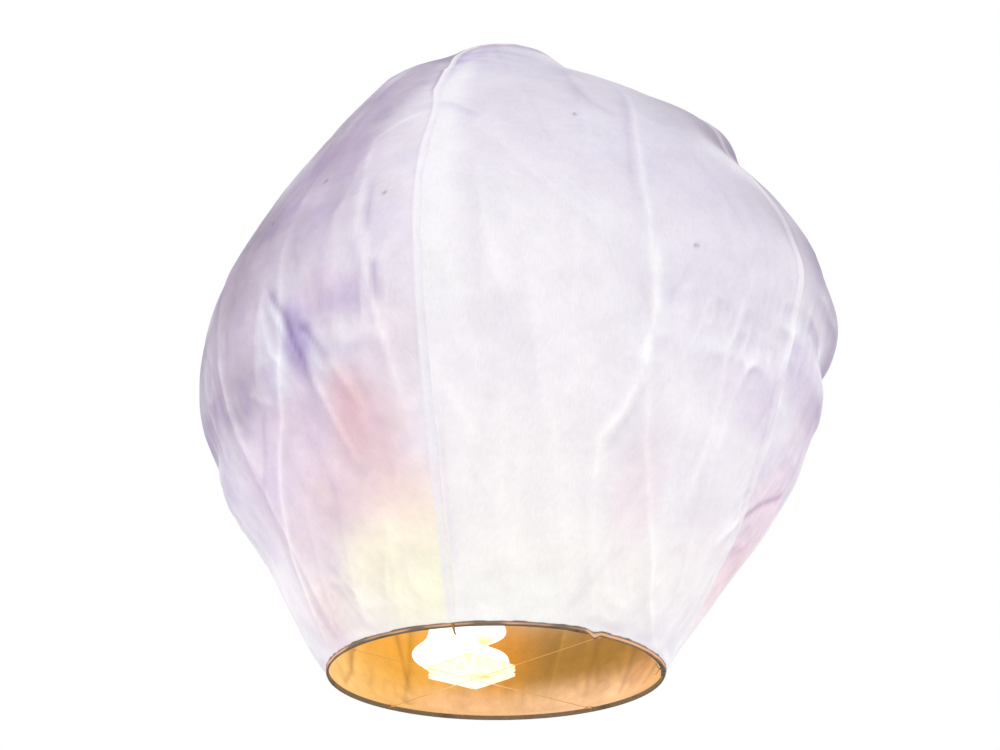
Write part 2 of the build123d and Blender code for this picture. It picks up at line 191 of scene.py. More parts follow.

# ---------------------------------------------------------------- colour patches on the outside, with the room's light and shade and the flame's glow painted into them
# (degrees round, height mm, reach in degrees, reach mm, weight, red, green, blue as painted, 0 to 255)
OUTSIDE = [(0, 330, 150, 900, 0.25, 238, 234, 241), (-85, 600, 40, 60, 1.2, 164, 154, 172),
           (-44, 613, 16, 9, 2.4, 166, 157, 180), (-60, 584, 10, 10, 2.0, 224, 216, 228),
           (-37, 614, 9, 8, 2.6, 156, 146, 170), (-22, 613, 5, 7, 1.4, 190, 184, 210),
           (-80, 546, 6, 24, 2.0, 148, 138, 154), (-42, 462, 7, 22, 1.4, 174, 156, 182),
           (-76, 540, 10, 44, 2.2, 156, 144, 162), (-62, 575, 20, 40, 1.2, 196, 188, 202),
           (-62, 505, 14, 40, 1.1, 204, 198, 207), (-42, 540, 13, 60, 1.3, 182, 168, 190),
           (-88, 560, 12, 60, 1.4, 164, 152, 170), (-84, 470, 12, 60, 1.2, 190, 182, 191),
           (-64, 455, 12, 26, 1.0, 208, 203, 208), (-64, 395, 13, 44, 1.5, 156, 143, 158),
           (-59, 384, 8, 26, 1.6, 150, 138, 153), (-80, 300, 6, 16, 3.0, 170, 161, 174),
           (-80, 262, 6, 18, 1.2, 188, 180, 196), (-80, 181, 7, 18, 1.3, 210, 202, 216),
           (-60, 516, 10, 30, 2.4, 178, 169, 180), (-46, 450, 16, 60, 1.2, 190, 174, 198),
           (-44, 370, 14, 40, 1.0, 202, 188, 208), (-82, 350, 9, 44, 1.5, 226, 224, 226),
           (-93, 330, 8, 90, 1.2, 176, 168, 180), (-62, 330, 12, 40, 1.1, 176, 162, 178),
           (-39.4, 258, 2.2, 24, 1.5, 184, 170, 212), (-46, 262, 3.0, 32, 2.2, 226, 222, 235),
           (-52, 285, 6, 26, 1.4, 208, 194, 212), (-28, 286, 4, 14, 1.2, 214, 197, 226),
           (-33, 292, 4, 22, 1.0, 222, 204, 220), (-30, 176, 3.2, 24, 2.2, 226, 184, 192),
           (-64, 240, 12, 40, 1.2, 190, 176, 194), (-82, 230, 10, 50, 1.1, 200, 192, 206),
           (-80, 150, 12, 46, 1.0, 232, 226, 236), (-60, 150, 12, 34, 1.1, 232, 216, 232),
           (-42, 170, 11, 30, 1.2, 226, 206, 222), (-27, 165, 6, 34, 1.4, 240, 208, 212),
           (-38, 120, 10, 26, 1.3, 238, 212, 216), (-52, 95, 10, 26, 1.2, 240, 222, 228),
           (-78, 70, 12, 40, 1.0, 248, 242, 246), (-24, 108, 7, 22, 1.3, 252, 226, 218),
           (-32, 62, 9, 24, 2.0, 254, 244, 220), (-22, 42, 13, 30, 2.6, 255, 252, 224),
           (-20, 84, 6, 18, 1.6, 254, 240, 218), (-44, 26, 10, 22, 1.1, 252, 246, 234),
           (-60, 36, 9, 24, 1.0, 246, 226, 224), (-22, 330, 6, 60, 1.1, 238, 230, 240),
           (-20, 440, 6, 80, 0.9, 236, 230, 240), (-20, 230, 5, 40, 1.1, 240, 228, 236),
           (0, 250, 16, 90, 1.5, 250, 247, 249), (2, 120, 18, 60, 1.5, 252, 248, 246),
           (5, 40, 26, 40, 1.6, 254, 253, 246), (-12.5, 440, 3.6, 90, 4.0, 252, 251, 254),
           (-11, 300, 6, 70, 2.0, 252, 250, 252), (2, 400, 12, 70, 1.2, 238, 234, 242),
           (4, 500, 18, 50, 1.1, 226, 221, 233), (0, 585, 22, 30, 1.2, 214, 210, 226),
           (30, 632, 50, 11, 2.2, 186, 178, 200), (-20, 598, 14, 12, 1.8, 206, 198, 230),
           (52, 590, 16, 12, 1.6, 196, 190, 204), (24, 545, 14, 50, 1.1, 207, 203, 214),
           (42, 588, 10, 14, 2.0, 240, 238, 240), (66, 575, 14, 26, 1.1, 208, 204, 212),
           (62, 515, 12, 30, 2.0, 176, 168, 180), (54, 460, 7, 16, 1.2, 240, 238, 242),
           (42, 500, 12, 40, 1.0, 204, 200, 212), (22, 440, 12, 60, 1.0, 226, 222, 234),
           (44, 420, 12, 50, 1.0, 218, 212, 228), (60, 415, 12, 26, 1.3, 200, 194, 206),
           (70, 400, 14, 40, 1.2, 196, 188, 202), (86, 470, 14, 110, 1.5, 182, 174, 188),
           (84, 370, 12, 40, 1.5, 194, 184, 200), (70, 520, 12, 50, 1.2, 178, 170, 184),
           (40, 300, 14, 40, 1.0, 234, 230, 240), (66, 262, 12, 20, 1.0, 224, 215, 232),
           (40, 262, 13, 20, 1.3, 242, 238, 245), (80, 299, 6, 15, 1.5, 243, 239, 248),
           (78, 384, 7, 24, 2.2, 168, 159, 177), (79, 504, 9, 26, 1.8, 168, 160, 176),
           (58, 215, 12, 24, 1.1, 224, 213, 230), (84, 222, 9, 30, 1.0, 222, 208, 224),
           (40, 170, 12, 40, 1.0, 246, 243, 246), (62, 150, 12, 34, 1.0, 245, 239, 244),
           (34, 115, 5, 50, 1.0, 246, 232, 236), (82, 140, 8, 34, 1.2, 235, 214, 226),
           (88, 90, 8, 30, 1.0, 240, 212, 216), (62, 70, 16, 34, 1.0, 252, 247, 246),
           (40, 50, 14, 30, 1.0, 252, 248, 243), (84, 40, 12, 26, 0.9, 250, 243, 243)]
DARK_SPECKS = [(-38.5, 420), (-21, 380), (17, 470), (-52, 392), (35, 330)]
# colour patches on the inside face, with the flame's warm light and its shade painted into them: (degrees
# round, height mm, reach in degrees, reach mm, weight, red, green, blue as painted, 0 to 255)
INSIDE = [(180, 90, 40, 160, 0.30, 214, 152, 62), (214, 60, 22, 50, 1.2, 236, 170, 52),
          (244, 36, 20, 36, 1.8, 244, 194, 122), (180, 12, 30, 18, 1.6, 240, 190, 138),
          (146, 14, 20, 20, 2.4, 252, 204, 158), (196, 20, 14, 14, 0.8, 236, 182, 138),
          (120, 30, 20, 34, 1.0, 230, 170, 108), (158, 74, 20, 38, 2.6, 150, 104, 18),
          (134, 92, 20, 40, 2.6, 146, 100, 20), (180, 78, 9, 34, 2.6, 232, 144, 12),
          (206, 84, 16, 30, 2.4, 234, 156, 24), (128, 40, 6, 20, 1.2, 190, 128, 88),
          (146, 30, 7, 16, 1.2, 214, 158, 110), (100, 50, 16, 40, 0.8, 214, 160, 90),
          (0, 60, 90, 90, 0.8, 236, 176, 84), (0, 260, 400, 140, 1.0, 246, 222, 190),
          (0, 520, 400, 180, 1.0, 222, 206, 206)]

# the tissue's mottling: (share, size in metres, seed), and how much of it each panel shows
MOTTLES = ((0.6, 0.034, 71), (0.5, 0.015, 72), (0.3, 0.0075, 73))
MOTTLE_SHARE = {0: 0.22, 1: 0.6, 2: 0.4}

# where the flame and the two soft lights stand, in metres
FLAME_PLACE = (-0.024, 0.018, 0.060)
LIGHT_AIM = np.array([0.0, 0.0, 0.3])
KEY_PLACE = np.array([1.5, -2.6, 2.4])
FILL_PLACE = np.array([-2.6, -1.6, -0.2])

# light and shade along the folds: points (degrees round, height mm), half width in mm, how much lighter
SHADE_LINES = [([(-24.5, 600), (-23, 560), (-18.5, 520)], 2.5, -0.22),
               ([(-46.5, 314), (-41.5, 279), (-39.7, 252), (-38, 228), (-36.5, 206)], 3.6, -0.42),
               ([(-48, 302), (-46.6, 262), (-44.5, 235), (-43.5, 200)], 6.5, 0.16),
               ([(-38.7, 268), (-36, 253), (-34, 239), (-31.8, 226)], 3.2, -0.36),
               ([(-37.6, 262), (-35.8, 240), (-34, 218)], 2.4, 0.12),
               ([(-21.8, 310), (-21.6, 292), (-21, 270)], 2.4, -0.22),
               ([(-27, 405), (-26, 372), (-25.5, 335)], 3.4, 0.12),
               ([(-24.4, 400), (-23.8, 370), (-23, 340)], 2.2, -0.16),
               ([(-17, 491), (-24, 478), (-29, 461), (-27.5, 415)], 2.4, 0.08),
               ([(-24, 320), (-22, 270), (-20, 223), (-18, 175)], 2.2, 0.10),
               ([(-43, 353), (-42.5, 263), (-47.5, 188), (-57, 128), (-64, 81), (-70, 15)], 2.4, 0.13),
               ([(-64, 278), (-63, 237), (-63, 192)], 2.4, 0.14),
               ([(35.5, 522), (29.3, 456), (27.2, 413), (26.2, 375), (26.4, 330), (26.5, 297)], 1.8, 0.08),
               ([(20, 520), (22, 492), (27, 476)], 3.5, -0.10),
               ([(33.5, 520), (27.5, 460), (25, 413), (24, 375)], 3.0, -0.09),
               ([(28, 330), (28.5, 280), (28, 240), (27, 205)], 6.0, 0.10),
               ([(27, 205), (24.5, 173), (21.5, 150), (22.5, 110)], 5.0, 0.06),
               ([(62, 315), (62, 266), (63, 220), (67, 163)], 3.0, 0.06),
               ([(66, 312), (73, 302), (79, 280)], 2.6, -0.24),
               ([(71, 318), (78, 306), (84, 292)], 5.0, 0.15),
               ([(71, 125), (76, 146), (86, 170)], 3.0, -0.15),
               ([(-15, 500), (-9, 488), (-3.5, 472)], 3.0, -0.12),
               ([(-30, 610), (-12, 606), (6, 600), (22, 594)], 5.0, -0.10),
               ([(22, 566), (21, 520), (20, 480)], 2.5, -0.08),
               ([(-70, 250), (-74, 215), (-80, 190)], 4.0, -0.14),
               ([(-52, 205), (-57, 165), (-62, 140)], 3.0, -0.12)]


# ---------------------------------------------------------------- numbers
def to_linear(value):
    value = np.asarray(value, float)
    return np.where(value <= 0.04045, value / 12.92, ((value + 0.055) / 1.055) ** 2.4)


def painted(colour):
    """Linear values of a colour given as painted, 0 to 255."""
    return to_linear(np.array(colour) / 255.0)


def smooth_line(points, x):
    """A smooth line through (x, y) points, held level past both ends."""
    xs = np.array([p[0] for p in points], float)
    ys = np.array([p[1] for p in points], float)
    slope = np.gradient(ys, xs)
    x = np.clip(x, xs[0], xs[-1])
    i = np.clip(np.searchsorted(xs, x) - 1, 0, len(xs) - 2)
    h = xs[i + 1] - xs[i]
    t = (x - xs[i]) / h
    rise = (2 * t**3 - 3 * t**2 + 1) * ys[i] + (3 * t**2 - 2 * t**3) * ys[i + 1]
    return rise + (t**3 - 2 * t**2 + t) * h * slope[i] + (t**3 - t**2) * h * slope[i + 1]


def lattice(ix, iy, iz, seed):
    n = (ix * 374761393 + iy * 668265263 + iz * 2147483647 + seed * 1274126177) & 0xFFFFFFFF
    n = ((n ^ (n >> 13)) * 1274126177) & 0xFFFFFFFF
    n = (n ^ (n >> 16)) & 0xFFFF
    return n / 32767.5 - 1.0


def lumps(p, seed):
    """Smooth lumps between -1 and 1 at points p, one lump to a unit."""
    i = np.floor(p).astype(np.int64)
    f = p - i
    f = f * f * f * (f * (f * 6 - 15) + 10)
    total = 0.0
    for dx in (0, 1):
        for dy in (0, 1):
            for dz in (0, 1):
                share = np.ones(p.shape[:-1])
                for axis, d in enumerate((dx, dy, dz)):
                    share = share * (f[..., axis] if d else 1 - f[..., axis])
                total = total + share * lattice(i[..., 0] + dx, i[..., 1] + dy, i[..., 2] + dz, seed)
    return total


def creased(p, seed, layers=3):
    """Sharp-edged crumple between about -1 and 1."""
    total, size, weight = 0.0, 1.0, 1.0
    for k in range(layers):
        total = total + weight * (1 - 2 * np.abs(lumps(p * size, seed + 17 * k)) * 1.6)
        size, weight = size * 2.1, weight * 0.45
    return total / 1.6


def meridian(s):
    """Radius, height and lean of the bag's cut at a length s up from the hoop's top edge."""
    s = np.asarray(s, float)
    flare, high, shoulder = (math.radians(a) for a in (FLARE_LEAN, BELLY_HIGH_TURN, SHOULDER_TURN))
    ra, za = PAPER_INSIDE + FLARE_LENGTH * math.sin(flare), HOOP_TOP + FLARE_LENGTH * math.cos(flare)
    c1 = (ra - BELLY_LOW * math.cos(flare), za + BELLY_LOW * math.sin(flare))
    c2 = (c1[0] + BELLY_LOW - BELLY_HIGH, c1[1])
    c3 = (c2[0] + (BELLY_HIGH - SHOULDER) * math.cos(high), c2[1] + (BELLY_HIGH - SHOULDER) * math.sin(high))
    s1 = FLARE_LENGTH
    s2 = s1 + BELLY_LOW * flare
    s3 = s2 + BELLY_HIGH * high
    s4 = s3 + SHOULDER * shoulder
    r4, z4 = c3[0] + SHOULDER * math.cos(high + shoulder), c3[1] + SHOULDER * math.sin(high + shoulder)
    s5 = s4 + (r4 - FLAT_RADIUS) / math.sin(high + shoulder)
    z5 = z4 + (s5 - s4) * math.cos(high + shoulder)
    flat = math.radians(FLAT_SLOPE)
    turns = [(s < 0, lambda: (np.full_like(s, PAPER_INSIDE), HOOP_TOP + s, np.zeros_like(s))),
             (s <= s1, lambda: (PAPER_INSIDE + s * math.sin(flare), HOOP_TOP + s * math.cos(flare),
                                np.full_like(s, flare))),
             (s <= s2, lambda: arc(c1, BELLY_LOW, flare - (s - s1) / BELLY_LOW)),
             (s <= s3, lambda: arc(c2, BELLY_HIGH, -(s - s2) / BELLY_HIGH)),
             (s <= s4, lambda: arc(c3, SHOULDER, -high - (s - s3) / SHOULDER)),
             (s <= s5, lambda: (r4 - (s - s4) * math.sin(high + shoulder),
                                z4 + (s - s4) * math.cos(high + shoulder),
                                np.full_like(s, -high - shoulder))),
             (s > s5, lambda: (FLAT_RADIUS - (s - s5) * math.sin(flat), z5 + (s - s5) * math.cos(flat),
                               np.full_like(s, -flat)))]
    return [np.select([t[0] for t in turns], [t[1]()[k] for t in turns]) for k in range(3)]


def arc(centre, radius, lean):
    return centre[0] + radius * np.cos(lean), centre[1] - radius * np.sin(lean), lean


RULER = np.linspace(PAPER_LOW - HOOP_TOP, 0.86, 4000)
RULER_R, RULER_Z, _ = meridian(RULER)
TOP_LENGTH = float(RULER[np.argmax(RULER_R <= TIP_RADIUS)])
PATCH_LENGTH = float(RULER[np.argmax(RULER_R <= PATCH_RADIUS)])
AXIS_LENGTH = float(RULER[np.argmax(RULER_R <= 0.0008)])


def length_at(height):
    """Length up the cut at a height in metres."""
    return np.interp(height, RULER_Z[RULER <= AXIS_LENGTH], RULER[RULER <= AXIS_LENGTH])


def turn_gap(a, b):
    """Degrees from b to a, between -180 and 180."""
    return (a - b + 180) % 360 - 180


def soft_patch(front, height, middle, reach):
    """1 at a place on the bag, fading to 0 round it: (degrees round, height in mm), (degrees, mm)."""
    gap = turn_gap(front, middle[0])
    return np.exp(-((gap / reach[0]) ** 2) - ((height * 1000 - middle[1]) / reach[1]) ** 2)


def fold_height(front, s, r, folds, shift=0.0, share=1.0):
    """Height of all the folds, in metres: a sharp crest with its own fall on each side."""
    total = np.zeros_like(front)
    for points, left, right, crest in folds:
        best = np.full(front.shape, 1e9)
        side = np.zeros(front.shape)
        fade = np.ones(front.shape)
        ends = [(turn_gap(a + shift, 0), length_at(h / 1000)) for a, h in points]
        run = np.cumsum([0] + [math.hypot(math.radians(turn_gap(q[0], p[0])) * 0.25, q[1] - p[1])
                               for p, q in zip(ends, ends[1:])])
        for k, (p, q) in enumerate(zip(ends, ends[1:])):
            px = np.radians(turn_gap(front, p[0])) * r
            py = s - p[1]
            qx = math.radians(turn_gap(q[0], p[0])) * r
            qy = q[1] - p[1]
            t = np.clip((px * qx + py * qy) / (qx * qx + qy * qy + 1e-12), 0, 1)
            dx, dy = px - t * qx, py - t * qy
            far = np.hypot(dx, dy)
            near = far < best
            best = np.where(near, far, best)
            side = np.where(near, np.sign(dx + 1e-12), side)
            along = (run[k] + t * (run[k + 1] - run[k])) / run[-1]
            fade = np.where(near, np.clip(np.minimum(along, 1 - along) * 5 + 0.25, 0, 1), fade)
        width = np.where(side < 0, left, right) / 1000
        soft = np.sqrt(best**2 + CREST_ROUND**2) - CREST_ROUND
        total += share * crest / 1000 * fade * np.exp(-soft / width)
    return total


def scattered_folds(count, seed):
    """Small creases all round, mostly up and down the panels, the same on every run."""
    rng = np.random.default_rng(seed)
    made = []
    for _ in range(count):
        a, h = rng.uniform(-180, 180), rng.uniform(15, 600)
        long = rng.uniform(25, 120)
        lean = rng.normal(0, 0.35)
        points = [(a + lean * k * long / 3 / 4 + rng.normal(0, 0.8), h + k * long / 3)
                  for k in range(4) if h + k * long / 3 < 630]
        if len(points) > 1:
            made.append((points, rng.uniform(2.5, 9), rng.uniform(2.5, 9),
                         rng.choice([-1, 1]) * rng.uniform(0.2, 0.7)))
    return made


def scattered_lines(count, seed):
    """Fine straight crease lines all round, painted lighter or darker than the paper as the light and shade
    of small creases, the same on every run.
    """
    rng = np.random.default_rng(seed)
    made = []
    for _ in range(count):
        a, h, long = rng.uniform(-180, 180), rng.uniform(10, 600), rng.uniform(35, 150)
        lean = rng.normal(0, 5.0)
        top = min(h + long, 625)
        made.append(([(a, h), (a + lean, top)], rng.uniform(1.6, 3.2),
                     rng.choice([-1, 1], p=[0.45, 0.55]) * rng.uniform(0.015, 0.055)))
    return made


def as_folds(lines):
    """Lines of light and shade in the form of folds, as wide on both sides."""
    return [(points, half, half, 1000 * amount) for points, half, amount in lines]


def shade_lines(front, s):
    """How much lighter, above 0, or darker the painted lines make the paper."""
    r = np.interp(s, RULER, RULER_R)
    total = np.zeros_like(front)
    for shift in (0.0, 180.0):
        total += fold_height(front, s, r, as_folds(SHADE_LINES), shift, 0.9)
    return total + fold_height(front, s, r, as_folds(LOOSE_LINES))


BACK_FOLDS = [(f[0], f[2], f[1], f[3]) for f in FOLDS]
LOOSE_FOLDS = scattered_folds(70, 11)
LOOSE_LINES = scattered_lines(130, 29)


def seam_angle(index, height):
    """Degrees round from the front of a seam at a height in metres."""
    path = SEAM_PATHS[index % PANELS]
    turn = 360 * (index // PANELS)
    return smooth_line([(h / 1000, a) for a, h in path], height) + turn


def relief(front, s, r, height):
    """How far the paper stands out of its plain cut, in metres."""
    front = turn_gap(front, 0)
    out = np.zeros_like(front)
    for a, h, wide, tall, rise in SWELLS:
        out += rise / 1000 * soft_patch(front, height, (a, h), (wide, tall))
    # a seam draws the bag in, and the fold down the middle of each panel but the front one stands out
    ripple = np.zeros_like(front)
    for k in range(PANELS):
        seam, after = seam_angle(k, height), seam_angle(k + 1, height)
        gap = np.abs(turn_gap(front, seam)) * math.pi / 180 * r
        ripple -= 0.0030 * np.exp(-gap / 0.018)
        middle = (seam + after) / 2
        if k:
            gap = np.abs(turn_gap(front, middle)) * math.pi / 180 * r
            ripple += 0.0035 * np.exp(-gap / 0.014)
    out += ripple * np.clip(s / 0.06, 0, 1) * np.clip((AXIS_LENGTH - s) / 0.12, 0, 1)
    out += fold_height(front, s, r, FOLDS, 0.0, FOLD_SHARE)
    out += fold_height(front, s, r, BACK_FOLDS, 180.0, FOLD_SHARE)
    out += fold_height(front, s, r, LOOSE_FOLDS)
    turn = np.radians(front)
    place = np.stack([r * np.sin(turn), -r * np.cos(turn), s * 0.55], -1)
    upright = np.stack([r * np.sin(turn), -r * np.cos(turn), s * 0.22], -1)
    out += (0.0016 * lumps(place / 0.095, 3) + 0.0009 * lumps(upright / 0.034, 5)
            + 0.0003 * lumps(place / 0.022, 6))
    upright[..., 2] *= 2
    for shift in (0.0, 180.0):
        for a, h, wide, tall, rise in CRUMPLES:
            zone = soft_patch(front, height, (a + shift, h), (wide, tall))
            if shift:
                zone = zone * 0.8
            out += zone * rise / 1000 * 0.36 * creased(upright / 0.022, 21 + int(h) % 7, 2)
    out += 0.00010 * creased(place / 0.020, 41, 2)
    # gathers where the wide cut is drawn in to the hoop
    gathers = lumps(np.stack([np.sin(turn) * 9, np.cos(turn) * 9, np.full_like(turn, 0.3)], -1), 8)
    out += 0.0016 * gathers * np.exp(-s / 0.045)
    hold = np.clip(s / 0.014, 0, 1)
    hold = hold * hold * (3 - 2 * hold)
    crown = np.clip((AXIS_LENGTH - s) / 0.03, 0, 1)
    return out * hold * (0.25 + 0.75 * crown) + 0.0002 * (1 - hold) * (1 + gathers)


def hem_drop(front, s):
    """How far the paper's raw edge hangs below its cut at the hoop, in metres."""
    front = turn_gap(front, 0)
    turn = np.radians(front)
    bumps = lumps(np.stack([np.sin(turn) * 11, np.cos(turn) * 11, np.full_like(turn, 0.7)], -1), 12)
    slack = 1 / (1 + np.exp((38 - front) / 1.6)) / (1 + np.exp((front - 79) / 2.5))
    left = 1 / (1 + np.exp((-86 - front) / 2.0)) / (1 + np.exp((front + 64) / 3.0))
    notch = np.exp(-(((front - 34) / 2.0) ** 2))
    drop = 0.4 + 0.7 * np.clip(bumps, -0.4, 1) + 2.6 * slack + 1.6 * left + 6.0 * notch
    return drop / 1000 * np.clip((0.0022 - s) / 0.005, 0, 1)


def leaning(front, s, z):
    """How far the bag's lean carries its paper outwards low down, and straight sideways near the crown."""
    lean = smooth_line([(h / 1000, d / 1000) for h, d in BAG_LEAN], z) * np.clip((s - 0.002) / 0.05, 0, 1)
    low = np.clip((0.59 - z) / 0.06, 0, 1)
    return lean * low * np.sin(np.radians(front)), lean * (1 - low)


def place_round(front, radius, height, sideways=0.0):
    """Points at degrees round from the front, at a radius and a height, and moved sideways."""
    turn = np.radians(front)
    return np.stack([radius * np.sin(turn) + sideways, -radius * np.cos(turn), height], -1)


def bag_point(front, s, stand_off=0.0):
    """Place of the paper's outer face at degrees round from the front and length s."""
    r, z, lean = meridian(s)
    out = relief(front, s, r, z) + stand_off
    outward, sideways = leaning(front, s, z)
    radius = r + outward + out * np.cos(lean)
    height = z - out * np.sin(lean) - hem_drop(front, s)
    return place_round(front, radius, height, sideways)


def patches(front, height, table):
    """Linear colour from a table of soft patches."""
    total = np.zeros(front.shape + (3,))
    weight = np.zeros(front.shape)
    for a, h, wide, tall, strength, red, green, blue in table:
        w = strength * soft_patch(front, height, (a, h), (wide, tall))
        total += w[..., None] * painted((red, green, blue))
        weight += w
    return total / weight[..., None]


def panel_patches(panel):
    """The colour patches of one panel. The back panels repeat the front ones, turned half round."""
    base, rows = OUTSIDE[0], OUTSIDE[1:]
    left = [p for p in rows if p[0] < seam_angle(0, p[1] / 1000)]
    right = [p for p in rows if p[0] > seam_angle(1, p[1] / 1000) - 2]
    middle = [p for p in rows if p not in left and p not in right]
    if panel == 0:
        return [base] + middle
    if panel == 1:
        return [base] + right + [(p[0] + 180, *p[1:]) for p in left if p[0] > -80]
    if panel == 2:
        return [base] + [(p[0] + 180, *p[1:]) for p in middle]
    if panel == 3:
        return [base] + left
    return OUTSIDE


# ---------------------------------------------------------------- node trees
class Link:
    """One output in a node tree, on which sums can be written."""

    def __init__(self, bench, socket):
        self.bench = bench
        self.socket = socket

    def sum(self, operation, *values):
        return self.bench.add("ShaderNodeMath", {"operation": operation}, dict(enumerate(values)))

    def __add__(self, other):
        return self.sum("ADD", self, other)

    __radd__ = __add__

    def __mul__(self, other):
        return self.sum("MULTIPLY", self, other)

    __rmul__ = __mul__

    def __sub__(self, other):
        return self.sum("SUBTRACT", self, other)

    def __rsub__(self, other):
        return self.sum("SUBTRACT", other, self)

    def __truediv__(self, other):
        return self.sum("DIVIDE", self, other)

    def __pow__(self, other):
        return self.sum("POWER", self, other)


class Bench:
    """A node tree and the one way of adding to it."""

    def __init__(self, tree):
        self.tree = tree

    def add(self, kind, settings=None, sockets=None, output=0):
        node = self.tree.nodes.new(kind)
        for name, value in (settings or {}).items():
            if name == "stops":
                ramp = node.color_ramp
                while len(ramp.elements) < len(value):
                    ramp.elements.new(0.5)
                for element, (place, colour) in zip(ramp.elements, value):
                    element.position = place
                    element.color = (*colour, 1.0)
            else:
                setattr(node, name, value)
        for key, value in (sockets or {}).items():
            socket = node.inputs[key]
            if isinstance(value, Link):
                self.tree.links.new(value.socket, socket)
            else:
                socket.default_value = value
        return Link(self, node.outputs[output]) if len(node.outputs) else node

    def mix(self, share, first, second, blend="MIX"):
        return self.add("ShaderNodeMix", {"data_type": "RGBA", "blend_type": blend, "clamp_factor": True},
                        {0: share, 6: first, 7: second}, 2)

    def ramp(self, value, *stops):
        return self.add("ShaderNodeValToRGB", {"stops": stops}, {0: value})

    def noise(self, place, scale, detail=3.0, roughness=0.55, output=0):
        return self.add("ShaderNodeTexNoise", {},
                        {"Vector": place, "Scale": scale, "Detail": detail, "Roughness": roughness}, output)

    def stretched(self, place, scale, turn=(0.0, 0.0, 0.0)):
        return self.add("ShaderNodeMapping", {}, {"Vector": place, "Scale": scale, "Rotation": turn})


def new_finish(name):
    """An empty material, its bench and its shader."""
    material = bpy.data.materials.new(name)
    material.use_nodes = True
    tree = material.node_tree
    tree.nodes.clear()
    out = tree.nodes.new("ShaderNodeOutputMaterial")
    shader = tree.nodes.new("ShaderNodeBsdfPrincipled")
    tree.links.new(shader.outputs[0], out.inputs[0])
    return material, Bench(tree), shader


def feed(bench, shader, **values):
    for name, value in values.items():
        socket = shader.inputs[name.replace("_", " ")]
        if isinstance(value, Link):
            bench.tree.links.new(value.socket, socket)
        else:
            socket.default_value = value


def tissue_finish(name, inner):
    """Thin lit tissue: cloudy fibres, small hard creases, and its painted colour and glow."""
    material, bench, shader = new_finish(name)
    tint = bench.add("ShaderNodeAttribute", {"attribute_name": "tissue_tint"}, output=0)
    glow = bench.add("ShaderNodeAttribute", {"attribute_name": "lamp_glow"}, output=0)
    cloth = bench.add("ShaderNodeUVMap", {"uv_map": "paper"})
    cloud = bench.noise(cloth, 26.0, 4.0, 0.6)
    fine = bench.noise(cloth, 190.0, 3.0, 0.6)
    fibres = bench.noise(bench.stretched(cloth, (900.0, 120.0, 1.0), (0.0, 0.0, 0.35)), 1.0, 2.0, 0.5)
    cross = bench.noise(bench.stretched(cloth, (900.0, 110.0, 1.0), (0.0, 0.0, -0.9)), 1.0, 2.0, 0.5)
    crush = bench.add("ShaderNodeTexVoronoi", {"feature": "DISTANCE_TO_EDGE"},
                      {"Vector": bench.stretched(cloth, (58.0, 36.0, 1.0)), "Scale": 1.0, "Randomness": 1.0})
    crush_line = bench.ramp(crush, (0.0, (1, 1, 1)), (0.045, (0, 0, 0)))
    pulp = (cloud - 0.5) * 0.30 + (fine - 0.5) * 0.16 + (fibres - 0.5) * 0.22 + (cross - 0.5) * 0.18
    thick = bench.add("ShaderNodeClamp", {}, {0: 1.0 + pulp * (0.9 if inner else 0.62), 1: 0.6, 2: 1.4})
    shade = bench.add("ShaderNodeCombineXYZ", {}, {0: thick, 1: thick, 2: thick})
    body = bench.mix(1.0, tint, shade, "MULTIPLY")
    light = bench.mix(1.0, glow, shade, "MULTIPLY")
    height = (fibres - 0.5) * 0.35 + (cross - 0.5) * 0.3 + (fine - 0.5) * 0.5 + crush_line * 0.10
    bump = bench.add("ShaderNodeBump", {}, {"Strength": 0.25, "Distance": 0.0004, "Height": height})
    feed(bench, shader, Base_Color=body, Emission_Color=light, Emission_Strength=1.0, Normal=bump,
         Roughness=(fine - 0.5) * 0.2 + 0.72, Specular_IOR_Level=0.25)
    return material


def tissue_pair():
    """The outside and inside finishes of the tissue, made once."""
    found = [bpy.data.materials.get(name) for name in ("tissue_outside", "tissue_inside")]
    return found if all(found) else [tissue_finish("tissue_outside", False),
                                     tissue_finish("tissue_inside", True)]


def bamboo_finish():
    """Split bamboo, dark brown: long fibres round the hoop and paler bruises."""
    material, bench, shader = new_finish("bamboo")
    place = bench.add("ShaderNodeTexCoord", {}, output=3)
    split = bench.tree.nodes.new("ShaderNodeSeparateXYZ")
    bench.tree.links.new(place.socket, split.inputs[0])
    x, y, z = (Link(bench, split.outputs[k]) for k in range(3))
    round_turn = bench.add("ShaderNodeMath", {"operation": "ARCTAN2"}, {0: y, 1: x})
    across = bench.add("ShaderNodeVectorMath", {"operation": "LENGTH"},
                       {0: bench.add("ShaderNodeCombineXYZ", {}, {0: x, 1: y})}, 1)
    grain_place = bench.add("ShaderNodeCombineXYZ", {},
                            {0: round_turn * 9.0, 1: z * 3200.0, 2: across * 2600.0})
    grain = bench.noise(grain_place, 1.0, 4.0, 0.6)
    blotch = bench.noise(place, 42.0, 3.0, 0.6)
    nodes = bench.add("ShaderNodeMath", {"operation": "PINGPONG"},
                      {0: round_turn * 0.159155 + 0.031, 1: 0.083})
    knuckle = bench.ramp(nodes, (0.0, (1, 1, 1)), (0.012, (0, 0, 0)))
    colour = bench.ramp(grain * 0.7 + blotch * 0.3, (0.25, (0.110, 0.080, 0.052)),
                        (0.5, (0.220, 0.170, 0.112)), (0.78, (0.360, 0.285, 0.185)))
    colour = bench.mix(knuckle * 0.6, colour, (0.055, 0.036, 0.022, 1.0))
    bump = bench.add("ShaderNodeBump", {},
                     {"Strength": 0.6, "Distance": 0.0003, "Height": grain + knuckle * 0.8})
    feed(bench, shader, Base_Color=colour, Roughness=0.46 + grain * 0.25, Normal=bump)
    return material


